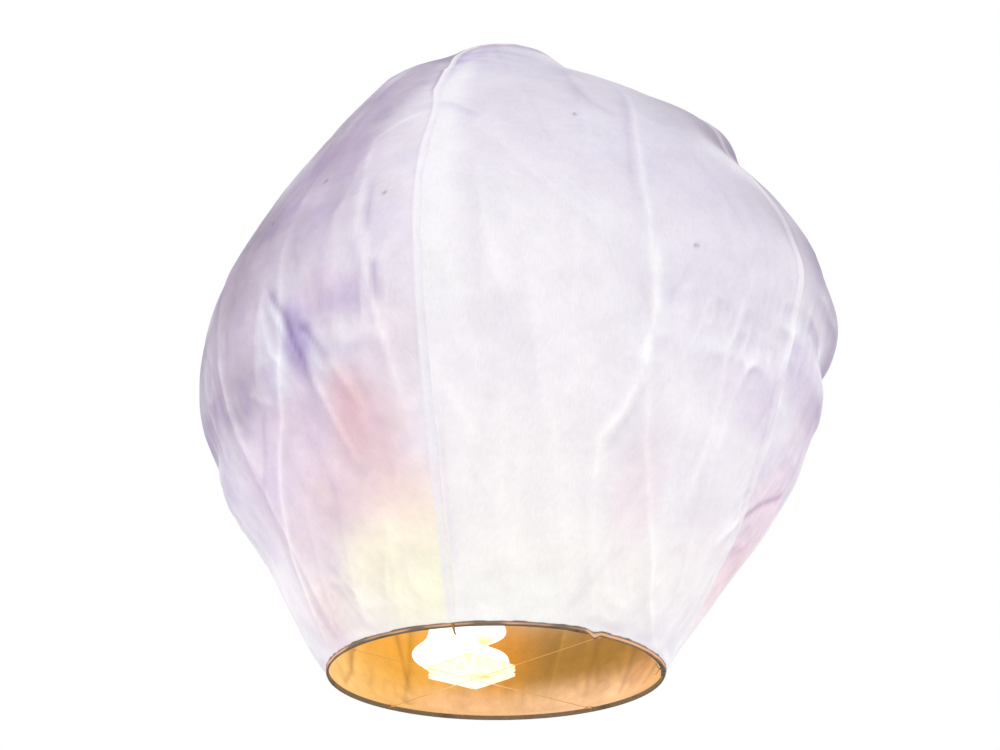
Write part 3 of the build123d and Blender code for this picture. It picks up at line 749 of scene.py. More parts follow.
def thread_finish():
    """Dull twisted cotton, waxed and smoke-stained."""
    material, bench, shader = new_finish("lashing_thread")
    place = bench.add("ShaderNodeTexCoord", {}, output=3)
    twist = bench.add("ShaderNodeTexWave", {"bands_direction": "DIAGONAL"},
                      {"Vector": place, "Scale": 620.0, "Distortion": 2.0, "Detail": 2.0}, 1)
    fuzz = bench.noise(place, 1500.0, 3.0, 0.6)
    colour = bench.ramp(twist * 0.6 + fuzz * 0.4, (0.2, (0.075, 0.058, 0.046)), (0.8, (0.36, 0.29, 0.235)))
    bump = bench.add("ShaderNodeBump", {},
                     {"Strength": 0.8, "Distance": 0.0002, "Height": twist + fuzz * 0.5})
    feed(bench, shader, Base_Color=colour, Roughness=0.72 + fuzz * 0.2, Normal=bump)
    return material


def wire_finish():
    """Thin annealed steel, straw and blue where the flame has coloured it, with the flame's light painted on
    as a glow, brightest nearest the flame.
    """
    material, bench, shader = new_finish("annealed_wire")
    place = bench.add("ShaderNodeTexCoord", {}, output=3)
    away = bench.add("ShaderNodeVectorMath", {"operation": "DISTANCE"},
                     {0: place, 1: (-0.024, 0.022, 0.002)}, 1)
    scale = bench.noise(place, 900.0, 3.0, 0.6)
    heat = bench.ramp(away * 5.5 + (scale - 0.5) * 0.12, (0.0, (0.10, 0.085, 0.085)),
                      (0.22, (0.16, 0.13, 0.15)), (0.36, (0.30, 0.18, 0.08)), (0.60, (0.30, 0.22, 0.13)),
                      (0.95, (0.26, 0.23, 0.19)))
    bump = bench.add("ShaderNodeBump", {}, {"Strength": 0.3, "Distance": 0.00005, "Height": scale})
    # painted light: the flame's light on the wire as a glow, fading with distance from the flame
    flame_lit_glow = bench.ramp(away * 5.5, (0.0, (1.0, 0.92, 0.62)), (0.22, (0.92, 0.62, 0.22)),
                       (0.40, (0.62, 0.28, 0.05)), (0.9, (0.52, 0.24, 0.06)))
    feed(bench, shader, Base_Color=heat, Metallic=0.8, Roughness=0.34 + scale * 0.25, Normal=bump,
         Emission_Color=flame_lit_glow, Emission_Strength=0.9)
    return material


def pad_finish():
    """Waxed absorbent paper: felted fibres, clear wax blooms, scorched towards the flame, with the flame's
    light painted on as a glow that is white where the paper is unscorched.
    """
    material, bench, shader = new_finish("waxed_pad")
    place = bench.add("ShaderNodeTexCoord", {}, output=3)
    scorch = bench.add("ShaderNodeAttribute", {"attribute_name": "scorch"}, output=2)
    felt = bench.noise(bench.stretched(place, (700.0, 700.0, 2600.0)), 1.0, 4.0, 0.65)
    wax = bench.noise(place, 120.0, 4.0, 0.6)
    charred = bench.add("ShaderNodeClamp", {}, {0: scorch + (wax - 0.5) * 0.7, 1: 0.0, 2: 1.0})
    paper = bench.ramp(felt * 0.6 + wax * 0.4, (0.3, (0.60, 0.44, 0.20)), (0.7, (0.88, 0.74, 0.44)))
    burnt = bench.ramp(charred, (0.0, (0.88, 0.74, 0.44)), (0.45, (0.42, 0.20, 0.06)),
                       (0.75, (0.030, 0.020, 0.015)))
    colour = bench.mix(charred, paper, burnt)
    # painted light: the flame's light on the pads as a glow, dimmer where they are charred
    flame_lit_glow = bench.ramp(charred, (0.0, (1.0, 0.97, 0.86)), (0.30, (1.0, 0.90, 0.55)),
                       (0.50, (0.86, 0.64, 0.16)), (0.72, (0.62, 0.30, 0.05)), (0.95, (0.10, 0.03, 0.0)))
    bump = bench.add("ShaderNodeBump", {}, {"Strength": 0.6, "Distance": 0.0005, "Height": felt + wax * 0.6})
    feed(bench, shader, Base_Color=colour, Roughness=0.66 - wax * 0.35, Coat_Weight=wax * 0.3,
         Emission_Color=flame_lit_glow, Emission_Strength=0.95, Normal=bump)
    return material


def flame_finish():
    """White-hot inside, yellow towards the thin edges and the root."""
    material, bench, shader = new_finish("flame")
    burning = bench.add("ShaderNodeAttribute", {"attribute_name": "burning"}, output=2)
    place = bench.add("ShaderNodeTexCoord", {}, output=3)
    lick = bench.noise(bench.stretched(place, (60.0, 60.0, 22.0)), 1.0, 3.0, 0.55)
    colour = bench.ramp(burning + (lick - 0.5) * 0.30, (0.0, (1.0, 0.66, 0.16)), (0.38, (1.0, 0.88, 0.30)),
                        (0.62, (1.0, 0.97, 0.74)), (0.8, (1.0, 1.0, 0.96)))
    feed(bench, shader, Base_Color=(0.0, 0.0, 0.0, 1.0), Emission_Color=colour, Emission_Strength=1.5,
         Roughness=1.0, Specular_IOR_Level=0.0)
    return material


def floor_finish():
    """Smooth pale plaster, a little uneven."""
    material, bench, shader = new_finish("pale_floor")
    place = bench.add("ShaderNodeTexCoord", {}, output=3)
    cloud = bench.noise(place, 1.2, 3.0, 0.5)
    colour = bench.ramp(cloud, (0.3, (0.80, 0.80, 0.81)), (0.7, (0.84, 0.84, 0.84)))
    feed(bench, shader, Base_Color=colour, Roughness=0.8)
    return material


def dress(node, material):
    """Gives a carried-over node of the frame its finish."""
    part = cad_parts[node]
    part.data.materials.clear()
    part.data.materials.append(material)


# ---------------------------------------------------------------- meshes
def add_piece(name, points, faces, materials, smooth=True):
    mesh = bpy.data.meshes.new(name)
    mesh.from_pydata([tuple(p) for p in points], [], [tuple(f) for f in faces])
    mesh.update()
    for material in materials:
        mesh.materials.append(material)
    mesh.polygons.foreach_set("use_smooth", [smooth] * len(mesh.polygons))
    piece = bpy.data.objects.new(name, mesh)
    bpy.context.scene.collection.objects.link(piece)
    return piece


def paint(piece, name, colours):
    """A linear colour on every point."""
    layer = piece.data.attributes.new(name, "FLOAT_COLOR", "POINT")
    rgba = np.ones((len(piece.data.vertices), 4), np.float32)
    rgba[:, :3] = colours
    layer.data.foreach_set("color", rgba.ravel())


def grade(piece, name, values):
    """A number on every point."""
    layer = piece.data.attributes.new(name, "FLOAT", "POINT")
    layer.data.foreach_set("value", np.asarray(values, np.float32).ravel())


def tube_faces(rings, sides):
    """Faces of a closed tube: its wall, and one face over each end."""
    faces = []
    for i in range(rings - 1):
        for j in range(sides):
            a, b = i * sides + j, i * sides + (j + 1) % sides
            faces.append((a, b, b + sides, a + sides))
    return faces + [tuple(range(sides))[::-1], tuple((rings - 1) * sides + j for j in range(sides))]


def tube(path, radius, sides=8):
    """Points and faces of a round tube along a path, closed at both ends."""
    path = np.asarray(path, float)
    ahead = np.gradient(path, axis=0)
    ahead /= np.linalg.norm(ahead, axis=1, keepdims=True)
    side = np.cross(ahead[0], (0.31, 0.17, 0.93))
    points, turns = [], np.linspace(0, 2 * math.pi, sides, endpoint=False)
    for place, way in zip(path, ahead):
        side = side - way * side.dot(way)
        side /= np.linalg.norm(side)
        other = np.cross(way, side)
        points.append(place + radius * (np.cos(turns)[:, None] * side + np.sin(turns)[:, None] * other))
    return np.vstack(points), tube_faces(len(path), sides)


def winding_tree(material):
    """Geometry nodes: one thread wound in flat-sided turns side by side along the hoop."""
    tree = bpy.data.node_groups.new("thread winding", "GeometryNodeTree")
    tree.interface.new_socket("Geometry", in_out="OUTPUT", socket_type="NodeSocketGeometry")
    names = (("Turns", "NodeSocketInt"), ("Thread radius", "NodeSocketFloat"),
             ("Half depth", "NodeSocketFloat"), ("Half height", "NodeSocketFloat"),
             ("Pitch", "NodeSocketFloat"), ("Place", "NodeSocketVector"), ("Turned", "NodeSocketFloat"))
    for name, kind in names:
        tree.interface.new_socket(name, in_out="INPUT", socket_type=kind)
    bench = Bench(tree)
    given = tree.nodes.new("NodeGroupInput")
    turns, radius, depth, height, pitch, place, turned = (Link(bench, given.outputs[k]) for k in range(7))
    line = bench.add("GeometryNodeCurvePrimitiveLine")
    line = bench.add("GeometryNodeResampleCurve", {}, {0: line, 2: turns * 28})
    share = bench.add("GeometryNodeSplineParameter")
    angle = share * turns * (2 * math.pi)
    corners = []
    for operation in ("COSINE", "SINE"):
        wave = bench.add("ShaderNodeMath", {"operation": operation}, {0: angle})
        side = bench.add("ShaderNodeMath", {"operation": "SIGN"}, {0: wave})
        size = bench.add("ShaderNodeMath", {"operation": "ABSOLUTE"}, {0: wave})
        corners.append(side * size ** 0.42)
    slack = bench.add("ShaderNodeTexNoise", {"noise_dimensions": "1D"},
                      {"W": share * turns * 1.7, "Scale": 1.0}) * 0.10 + 0.95
    spot = bench.add("ShaderNodeCombineXYZ", {},
                     {0: corners[0] * depth * slack, 1: (share - 0.5) * turns * pitch,
                      2: corners[1] * height * slack})
    wound = bench.add("GeometryNodeSetPosition", {}, {"Geometry": line, "Position": spot})
    section = bench.add("GeometryNodeCurvePrimitiveCircle", {}, {"Resolution": 8, "Radius": radius})
    solid = bench.add("GeometryNodeCurveToMesh", {}, {0: wound, 1: section, "Fill Caps": True})
    heading = bench.add("ShaderNodeCombineXYZ", {}, {2: turned})
    solid = bench.add("GeometryNodeTransform", {},
                      {"Geometry": solid, "Translation": place, "Rotation": heading})
    solid = bench.add("GeometryNodeSetShadeSmooth", {}, {"Geometry": solid})
    solid = bench.add("GeometryNodeRealizeInstances", {}, {"Geometry": solid})
    solid = bench.add("GeometryNodeSetMaterial", {}, {"Geometry": solid, "Material": material})
    out = tree.nodes.new("NodeGroupOutput")
    tree.links.new(solid.socket, out.inputs[0])
    return tree


def grow(name, tree, values):
    """Runs a node tree with its named inputs and keeps the result as a plain mesh piece."""
    seed = bpy.data.objects.new(name, bpy.data.meshes.new(name + " seed"))
    bpy.context.scene.collection.objects.link(seed)
    modifier = seed.modifiers.new("grow", "NODES")
    modifier.node_group = tree
    for item in tree.interface.items_tree:
        if item.item_type == "SOCKET" and item.in_out == "INPUT" and item.name in values:
            modifier[item.identifier] = values[item.name]
    shaped = bpy.data.meshes.new_from_object(seed.evaluated_get(bpy.context.evaluated_depsgraph_get()))
    bpy.data.objects.remove(seed)
    if not shaped.polygons:
        raise RuntimeError(name + " came out empty")
    shaped.name = name
    piece = bpy.data.objects.new(name, shaped)
    bpy.context.scene.collection.objects.link(piece)
    return piece


def join_into(piece, others):
    """Adds plain meshes to a piece, as loose shells of the same object."""
    mesh = piece.data
    points = [tuple(v.co) for v in mesh.vertices]
    faces = [tuple(p.vertices) for p in mesh.polygons]
    for more_points, more_faces in others:
        first = len(points)
        points += [tuple(p) for p in more_points]
        faces += [tuple(first + v for v in f) for f in more_faces]
    material = mesh.materials[0]
    mesh.clear_geometry()
    mesh.from_pydata(points, [], faces)
    mesh.materials.clear()
    mesh.materials.append(material)
    mesh.polygons.foreach_set("use_smooth", [True] * len(faces))
    mesh.update()


def grid_faces(rows, columns, first=0, flip=False):
    i = np.arange(rows - 1)[:, None]
    j = np.arange(columns - 1)[None, :]
    a = first + i * columns + j
    quads = np.stack([a, a + 1, a + columns + 1, a + columns], -1).reshape(-1, 4)
    return quads[:, ::-1] if flip else quads


def edge_loop(rows, columns):
    """Point numbers round a grid's border, in order."""
    low = list(range(columns))
    right = [i * columns + columns - 1 for i in range(1, rows)]
    high = [(rows - 1) * columns + j for j in range(columns - 2, -1, -1)]
    left = [i * columns for i in range(rows - 2, 0, -1)]
    return low + right + high + left


def rim_faces(loop, count):
    """Faces that join the border of one grid to that of the next, count points further on."""
    return np.array([(a, a + count, b + count, b) for a, b in zip(loop, loop[1:] + loop[:1])])


def facing(points):
    """Unit normals of a grid: outwards when its rows climb and its columns go round to the right."""
    across = np.gradient(points, axis=1)
    along = np.gradient(points, axis=0)
    normal = np.cross(across, along)
    return normal / (np.linalg.norm(normal, axis=-1, keepdims=True) + 1e-12)


def shell(name, points, thickness, outer, inner, materials):
    """A closed thin sheet from a grid of points. outer and inner are the (tint, glow) of its two faces."""
    rows, columns = points.shape[:2]
    normal = facing(points)
    behind = points - normal * thickness
    count = rows * columns
    rim = rim_faces(edge_loop(rows, columns), count)
    faces = np.vstack([grid_faces(rows, columns), grid_faces(rows, columns, count, True), rim])
    piece = add_piece(name, np.vstack([points.reshape(-1, 3), behind.reshape(-1, 3)]), faces, materials)
    face_count = (rows - 1) * (columns - 1)
    slots = np.zeros(len(faces), np.int32)
    slots[face_count:2 * face_count] = 1
    piece.data.polygons.foreach_set("material_index", slots)
    for k, layer in enumerate(("tissue_tint", "lamp_glow")):
        paint(piece, layer, np.vstack([outer[k].reshape(-1, 3), inner[k].reshape(-1, 3)]))
    return piece


def lay_uv(piece, flat):
    """The flat sheet's own coordinates in metres, one pair for each point."""
    layer = piece.data.uv_layers.new(name="paper")
    owners = np.zeros(len(piece.data.loops), np.int32)
    piece.data.loops.foreach_get("vertex_index", owners)
    layer.data.foreach_set("uv", flat[owners].astype(np.float32).ravel())


def crest_height(points, plain, base):
    """How far each point stands above its neighbours: about 1 on a sharp crest, below 0 in a groove."""
    stand = ((points - plain) * base).sum(-1)
    blur = stand.copy()
    for _ in range(5):
        padded = np.pad(blur, 1, mode="edge")
        blur = (padded[:-2, 1:-1] + padded[2:, 1:-1] + padded[1:-1, :-2] + padded[1:-1, 2:]) / 4
    return np.clip((stand - blur) / 0.0004, -1.5, 1.5)


def flame_through(points, normal, base):
    """How much the turn of the paper from its plain cut changes the flame's light through it."""
    to_flame = np.array(FLAME_PLACE) - points
    far = np.linalg.norm(to_flame, axis=-1)
    through = np.abs((normal * to_flame).sum(-1)) / far
    plain_through = np.abs((base * to_flame).sum(-1)) / far
    return np.clip(1 + 0.5 * (through - plain_through), 0.8, 1.2)


def painted_look(points, front, height, panel):
    """The tissue's painted colour, with the room's light and shade and the flame's glow painted into its
    patches: cloudier in mottles where it is dim, and bluer there as painted shade.
    """
    look = patches(turn_gap(front, 0), height, panel_patches(panel))
    cloudy = np.clip(1.15 - look[..., 1], 0.12, 1)
    mottle = sum(share * lumps(points / size, seed) for share, size, seed in MOTTLES)
    share = MOTTLE_SHARE.get(panel, 1.0)
    look = look * (1 + 0.15 * share * cloudy * mottle)[..., None]
    bluer = np.clip(lumps(points / 0.021, 74), 0, 1) * cloudy * share
    return look * (1 - bluer[..., None] * np.array([0.14, 0.17, 0.03]))


def calmness(front, height):
    """1 where folds show fully, less where the flame's glow evens the paper out."""
    low_front = np.exp(-((turn_gap(front, 8) / 46) ** 2) - (height / 0.24) ** 2)
    by_seam = np.exp(-((turn_gap(front, -13) / 6) ** 2))
    right_edge = np.exp(-((turn_gap(front, 84) / 12) ** 2) - ((height - 0.298) / 0.022) ** 2)
    return (1 - 0.75 * low_front) * (1 - 0.75 * by_seam) * (1 - 0.75 * right_edge)


def hem_shadow_and_light(look, front, height, s):
    """The look with a dark grey-brown band along its raw edge, painted as the hoop's shadow behind the paper
    with the bamboo showing through the glue, and painted lit by the flame where it hangs below; and how
    strong that band is.
    """
    turn = np.radians(front)
    ragged = lumps(np.stack([np.sin(turn) * 26, np.cos(turn) * 26, height * 0 + 0.5], -1), 63)
    band = np.clip((0.0008 + 0.0006 * ragged - s) / 0.0005, 0, 1)[..., None]
    hem = np.clip(hem_drop(front, s) / 0.0009, 0, 1) * np.clip((s + 0.0022) / 0.0004, 0, 1)
    hem = (hem * np.clip((-0.0002 - s) / 0.0005, 0, 1))[..., None]
    return look * (1 - band) + (painted(HOOP_SHADOW_EDGE) * (1 - hem) + painted(LIT_HEM) * hem) * band, band


def paper_shading(points, plain, front, height, s, panel=None):
    """Tint and glow of both faces: painted colour with painted light and shade, a painted glow for the
    flame's light through the paper, and the painted light and shade of its folds.
    """
    settings = bpy.context.scene.lantern_paper
    normal, base = facing(points), facing(plain)
    slope = ((normal - base) * (KEY_PLACE / np.linalg.norm(KEY_PLACE))).sum(-1)
    crest = crest_height(points, plain, base)
    look = painted_look(points, front, height, panel)
    # painted light: the paper a little brighter near the flame
    near_flame = np.exp(-((turn_gap(front, 20) / 60) ** 2) - ((height - 0.12) / 0.17) ** 2)
    look = look * (1 + 0.035 * near_flame)[..., None]
    calm = calmness(front, height)
    # painted light and shade of the folds: lighter where a fold turns to the key light, darker and more lilac
    # where it turns away, lighter or darker as it turns to or from the flame, lighter on crests, and along
    # the painted lines
    light = np.clip(1 + calm * settings.fold_shade * slope, 0.55, 1.35)
    light = light * (1 + calm * (flame_through(points, normal, base) - 1))
    light = light * (1 + calm * settings.crest_light * crest)
    light = light * (1 + shade_lines(front, length_at(height)))
    dim = np.clip(1 - light, 0, 1)[..., None]
    look = look * (light[..., None] ** np.array([1.05, 1.25, 0.9]))
    look = look * (1 - dim * np.array([0.10, 0.18, 0.05]))
    for a, h in DARK_SPECKS:
        gap = np.hypot(np.radians(turn_gap(front, a)) * 0.28, height - h / 1000)
        look = look * (1 - 0.5 * np.exp(-((gap / 0.0022) ** 2)))[..., None]
    # painted shadow of the hoop along the raw edge, and painted flame light on the hem below it
    look, band = hem_shadow_and_light(look, front, height, s)
    albedo = np.clip(look, 0, 1) ** 0.75 * settings.paper_share * (1 - 0.3 * band)
    # painted glow: as much light as the painted look needs beyond the room's own light on the paper
    glow = np.clip(look - albedo * room_light(base)[..., None], 0.0, 1.2)
    # inside face: the flame's warm light and shade painted into its colour and glow, lighter or darker with
    # the slope and crests of the folds
    inside = patches(turn_gap(front, 0), height, INSIDE) * np.clip(1 - 0.9 * slope, 0.6, 1.4)[..., None]
    inside = inside * np.clip(1 - 0.25 * crest, 0.6, 1.4)[..., None]
    inner_tint = np.clip(inside, 0, 1) ** 0.8 * 0.18
    return (albedo, glow), (inner_tint, inside * 0.93)


def room_light(normal):
    """Brightness of white paper under the stage's own lights, for each way it can face."""
    stage = bpy.context.scene.lantern_stage
    total = np.full(normal.shape[:-1], stage.ambient)
    for place, power in ((KEY_PLACE, stage.key), (FILL_PLACE, stage.fill)):
        far = np.linalg.norm(place - LIGHT_AIM)
        turned_to = np.clip((normal * (place - LIGHT_AIM) / far).sum(-1), 0, 1)
        total = total + power / (math.pi * far) ** 2 * turned_to
    return total


class LANTERN_OT_stage(bpy.types.Operator):
    """Camera, soft lights, pale surroundings and the floor"""

    bl_idname = "lantern.stage"
    bl_label = "Stage"

    def execute(self, context):
        stage = context.scene.lantern_stage
        scene = context.scene
        scene.view_settings.view_transform = "Standard"
        scene.view_settings.look = "None"
        camera = bpy.data.cameras.new("camera")
        camera.lens = stage.lens
        camera.sensor_width = 36.0
        holder = bpy.data.objects.new("camera", camera)
        holder.location = (CAMERA_SIDE, -stage.distance, -stage.distance * math.tan(stage.sight))
        holder.rotation_euler = Euler((math.pi / 2 + stage.pitch, 0.0, 0.0))
        camera.clip_end = 60.0
        scene.collection.objects.link(holder)
        scene.camera = holder
        ways = ((-1, -1), (1, -1), (1, 1), (-1, 1))
        corners = [(FLOOR_REACH * x, FLOOR_REACH * y, -FLOOR_DROP) for x, y in ways]
        floor = add_piece("floor", corners, [(0, 1, 2, 3)], [floor_finish()])
        world = bpy.data.worlds.new("pale room")
        scene.world = world
        world.use_nodes = True
        tree = world.node_tree
        tree.nodes.clear()
        bench = Bench(tree)
        out = tree.nodes.new("ShaderNodeOutputWorld")
        seen = bench.add("ShaderNodeLightPath", {}, output=0)
        strength = seen * (1.0 - stage.ambient) + stage.ambient
        tone = bench.mix(seen, (0.97, 0.95, 1.0, 1.0), (1.0, 1.0, 1.0, 1.0))
        room = bench.add("ShaderNodeBackground", {}, {0: tone, 1: strength})
        tree.links.new(room.socket, out.inputs[0])
        soft_light("key", KEY_PLACE, 1.8, stage.key, (1.0, 0.99, 0.98))
        soft_light("fill", FILL_PLACE, 2.0, stage.fill, (0.95, 0.93, 1.0))
        return {"FINISHED"}


def soft_light(name, place, size, power, colour):
    lamp = bpy.data.lights.new(name, "AREA")
    lamp.shape = "DISK"
    lamp.size = size
    lamp.energy = power
    lamp.color = colour
    holder = bpy.data.objects.new(name, lamp)
    holder.location = place
    holder.rotation_euler = Vector(LIGHT_AIM - place).to_track_quat("-Z", "Y").to_euler()
    bpy.context.scene.collection.objects.link(holder)


class LANTERN_OT_panels(bpy.types.Operator):
    """The four tissue panels, with their seams, folds and crumples"""

    bl_idname = "lantern.panels"
    bl_label = "Paper panels"

    def execute(self, context):
        settings = context.scene.lantern_paper
        materials = tissue_pair()
        for k in range(PANELS):
            hem = np.linspace(PAPER_LOW - HOOP_TOP, HEM_LENGTH, HEM_ROWS)
            rest = np.linspace(ABOVE_HEM, TOP_LENGTH, ALONG - HEM_ROWS)
            s = np.concatenate([hem, rest])[:, None] * np.ones((1, ACROSS))
            r, z, _ = meridian(s)
            start, end = seam_angle(k, z), seam_angle(k + 1, z)
            lap = np.degrees(settings.lap_width / np.maximum(r, 0.03))
            body = ACROSS - LAP_COLUMNS
            ahead = np.concatenate([np.linspace(0, 1, body), np.ones(LAP_COLUMNS)])[None, :]
            over = np.concatenate([np.zeros(body), np.linspace(0.06, 1, LAP_COLUMNS)])[None, :]
            wander = 1 + 0.12 * lumps(np.stack([s * 30, s * 0 + k, s * 0], -1), 51)
            front = start + (end - start) * ahead + lap * over * wander
            jog = np.clip(over * 2.4, 0, 1) * (1 - 0.6 * np.clip((over - 0.6) / 0.4, 0, 1))
            jog = jog * settings.lap_lift * np.ones_like(s)
            points = bag_point(front, s, jog)
            outward, sideways = leaning(front, s, z)
            plain = place_round(front, r + outward, z - hem_drop(front, s), sideways)
            plain = plain + facing(points) * jog[..., None]
            outer, inner = paper_shading(points, plain, front, z, s, k)
            # the lap is partly the double paper and partly a painted highlight: painted paler with a painted
            # glow, strongest on the front seam
            showing = settings.lap_light * (1.0 if k == PANELS - 1 else 0.3)
            strip = (np.clip(over * 3, 0, 1) * (1 - 0.7 * over) * showing
                     * np.clip(s / 0.006, 0, 1))[..., None]
            white = np.array([0.97, 0.95, 0.98])
            outer = (outer[0] + (white * settings.paper_share - outer[0]) * strip,
                     outer[1] + (np.clip(white - outer[0] * 0.8, 0, 1) - outer[1]) * strip)
            rim = (np.clip((over - 0.8) / 0.1, 0, 1) * np.clip(s / 0.006, 0, 1))[..., None]
            inner = tuple(a + (b - a) * rim for a, b in zip(inner, outer))
            piece = shell("paper_%d" % (k + 1), points, settings.gauge, outer, inner, materials)
            middle = (end - start)[:, :1] * ahead - 45
            across = np.radians(middle + lap * over) * r
            flat = np.stack([across + k * 0.7, s], -1).reshape(-1, 2)
            lay_uv(piece, np.vstack([flat, flat]))
            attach(piece, "frame")
            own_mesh(piece)
            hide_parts("paper_panel_%d" % (k + 1))
        return {"FINISHED"}


class LANTERN_OT_crown(bpy.types.Operator):
    """The small round patch that closes the top"""

    bl_idname = "lantern.crown"
    bl_label = "Crown patch"

    def execute(self, context):
        rings, sides = CROWN_RINGS, CROWN_SIDES
        front = np.linspace(-180, 180, sides + 1)[None, :] * np.ones((rings, 1))
        edge = 1 + 0.02 * np.sin(np.radians(front) * 5 + 1) + 0.012 * np.sin(np.radians(front) * 13)
        share = np.linspace(0, 1, rings)[:, None]
        s = AXIS_LENGTH - (AXIS_LENGTH - PATCH_LENGTH) * edge * (1 - share)
        points = bag_point(front, s, PATCH_STAND_OFF)
        points[-1] = points[-1].mean(0)
        turn = np.radians(front)
        r, z, _ = meridian(s)
        plain = place_round(front, r, z)
        plain = plain + (points - plain).mean((0, 1))
        outer, inner = paper_shading(points, plain, front, z, s)
        outer = tuple(np.clip(c * 1.03, 0, 1) for c in outer)
        outer, inner = (tuple(c[:, :-1] for c in face) for face in (outer, inner))
        piece = shell("crown_paper", points[:, :-1], PATCH_GAUGE, outer, inner, tissue_pair())
        close_round(piece, rings, sides)
        flat = np.stack([r * np.sin(turn), r * np.cos(turn)], -1)[:, :-1].reshape(-1, 2)
        lay_uv(piece, np.vstack([flat, flat]))
        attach(piece, "crown")
        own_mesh(piece)
        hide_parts("crown_patch")
        return {"FINISHED"}


def close_round(piece, rings, sides):
    """Turns a grid shell that goes all the way round into a closed disc."""
    mesh = piece.data
    count = rings * sides
    places = np.array([v.co for v in mesh.vertices])
    layers = {n: np.array([d.color[:3] for d in mesh.attributes[n].data])
              for n in ("tissue_tint", "lamp_glow")}
    faces, slots = [], []
    for first, slot, flip in ((0, 0, False), (count, 1, True)):
        for i in range(rings - 1):
            for j in range(sides):
                a, b = first + i * sides + j, first + i * sides + (j + 1) % sides
                quad = (a, b, b + sides, a + sides)
                faces.append(quad[::-1] if flip else quad)
                slots.append(slot)
    for j in range(sides):
        faces.append((j, j + count, (j + 1) % sides + count, (j + 1) % sides))
        slots.append(0)
    mesh.clear_geometry()
    mesh.from_pydata([tuple(p) for p in places], [], faces)
    mesh.polygons.foreach_set("material_index", slots)
    mesh.polygons.foreach_set("use_smooth", [True] * len(faces))
    for name, colours in layers.items():
        old = mesh.attributes.get(name)
        if old is not None:
            mesh.attributes.remove(old)
        paint(piece, name, colours)


class LANTERN_OT_hoop(bpy.types.Operator):
    """The split bamboo hoop at the mouth"""

    bl_idname = "lantern.hoop"
    bl_label = "Hoop"

    def execute(self, context):
        dress("hoop", bamboo_finish())
        return {"FINISHED"}


class LANTERN_OT_wires(bpy.types.Operator):
    """Cross wires, crossing tie and hairpin"""

    bl_idname = "lantern.wires"
    bl_label = "Wires"

    def execute(self, context):
        finish = wire_finish()
        for node in ("cross_wire_1", "cross_wire_2", "crossing_tie", "fuel_pin"):
            dress(node, finish)
        return {"FINISHED"}


class LANTERN_OT_lashings(bpy.types.Operator):
    """The two thread lashings that bind the hoop's overlap, each with its knot and loose ends"""

    bl_idname = "lantern.lashings"
    bl_label = "Lashings"

    def execute(self, context):
        settings = context.scene.lantern_lashing
        finish = thread_finish()
        tree = winding_tree(finish)
        for k, angle in enumerate(LASHING_ANGLES):
            node = "hoop_lashing_%d" % (k + 1)
            turn = math.radians(angle)
            outward = np.array([math.cos(turn), math.sin(turn), 0])
            around = np.array([-math.sin(turn), math.cos(turn), 0])
            middle = outward * LASHING_RADIUS + np.array([0, 0, HOOP_TOP / 2])
            piece = grow("lashing_%d" % (k + 1), tree,
                         {"Turns": settings.turns, "Thread radius": settings.thread,
                          "Half depth": LASHING_HALF, "Half height": LASHING_HALF,
                          "Pitch": 2.05 * settings.thread, "Place": tuple(middle), "Turned": turn})
            knot = middle - outward * (LASHING_HALF + 2.4 * settings.thread) + np.array([0, 0, 0.0002])
            t = np.linspace(0, 2 * math.pi, 72)
            reach = KNOT_REACH * (1 + 0.45 * np.cos(3 * t))
            loop = (knot + np.outer(reach * np.cos(2 * t), around)
                    + np.outer(reach * np.sin(2 * t) + 0.0002, (0, 0, 1))
                    + np.outer(0.0004 * np.sin(3 * t), outward))
            extras = [tube(loop, settings.thread)]
            for j, (side, drop, long) in enumerate(((1, -0.20, 0.011), (-1, 0.35, 0.008))):
                u = np.linspace(0, 1, 16)
                tail = (knot + np.outer(u * long * side * 0.8, around) - np.outer(u * long * 0.5, outward)
                        + np.outer(drop * long * u**2 + 0.0007 * np.sin(u * 5 + k + j), (0, 0, 1)))
                extras.append(tube(tail, settings.thread))
            join_into(piece, extras)
            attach(piece, "frame")
            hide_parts(node)
        return {"FINISHED"}


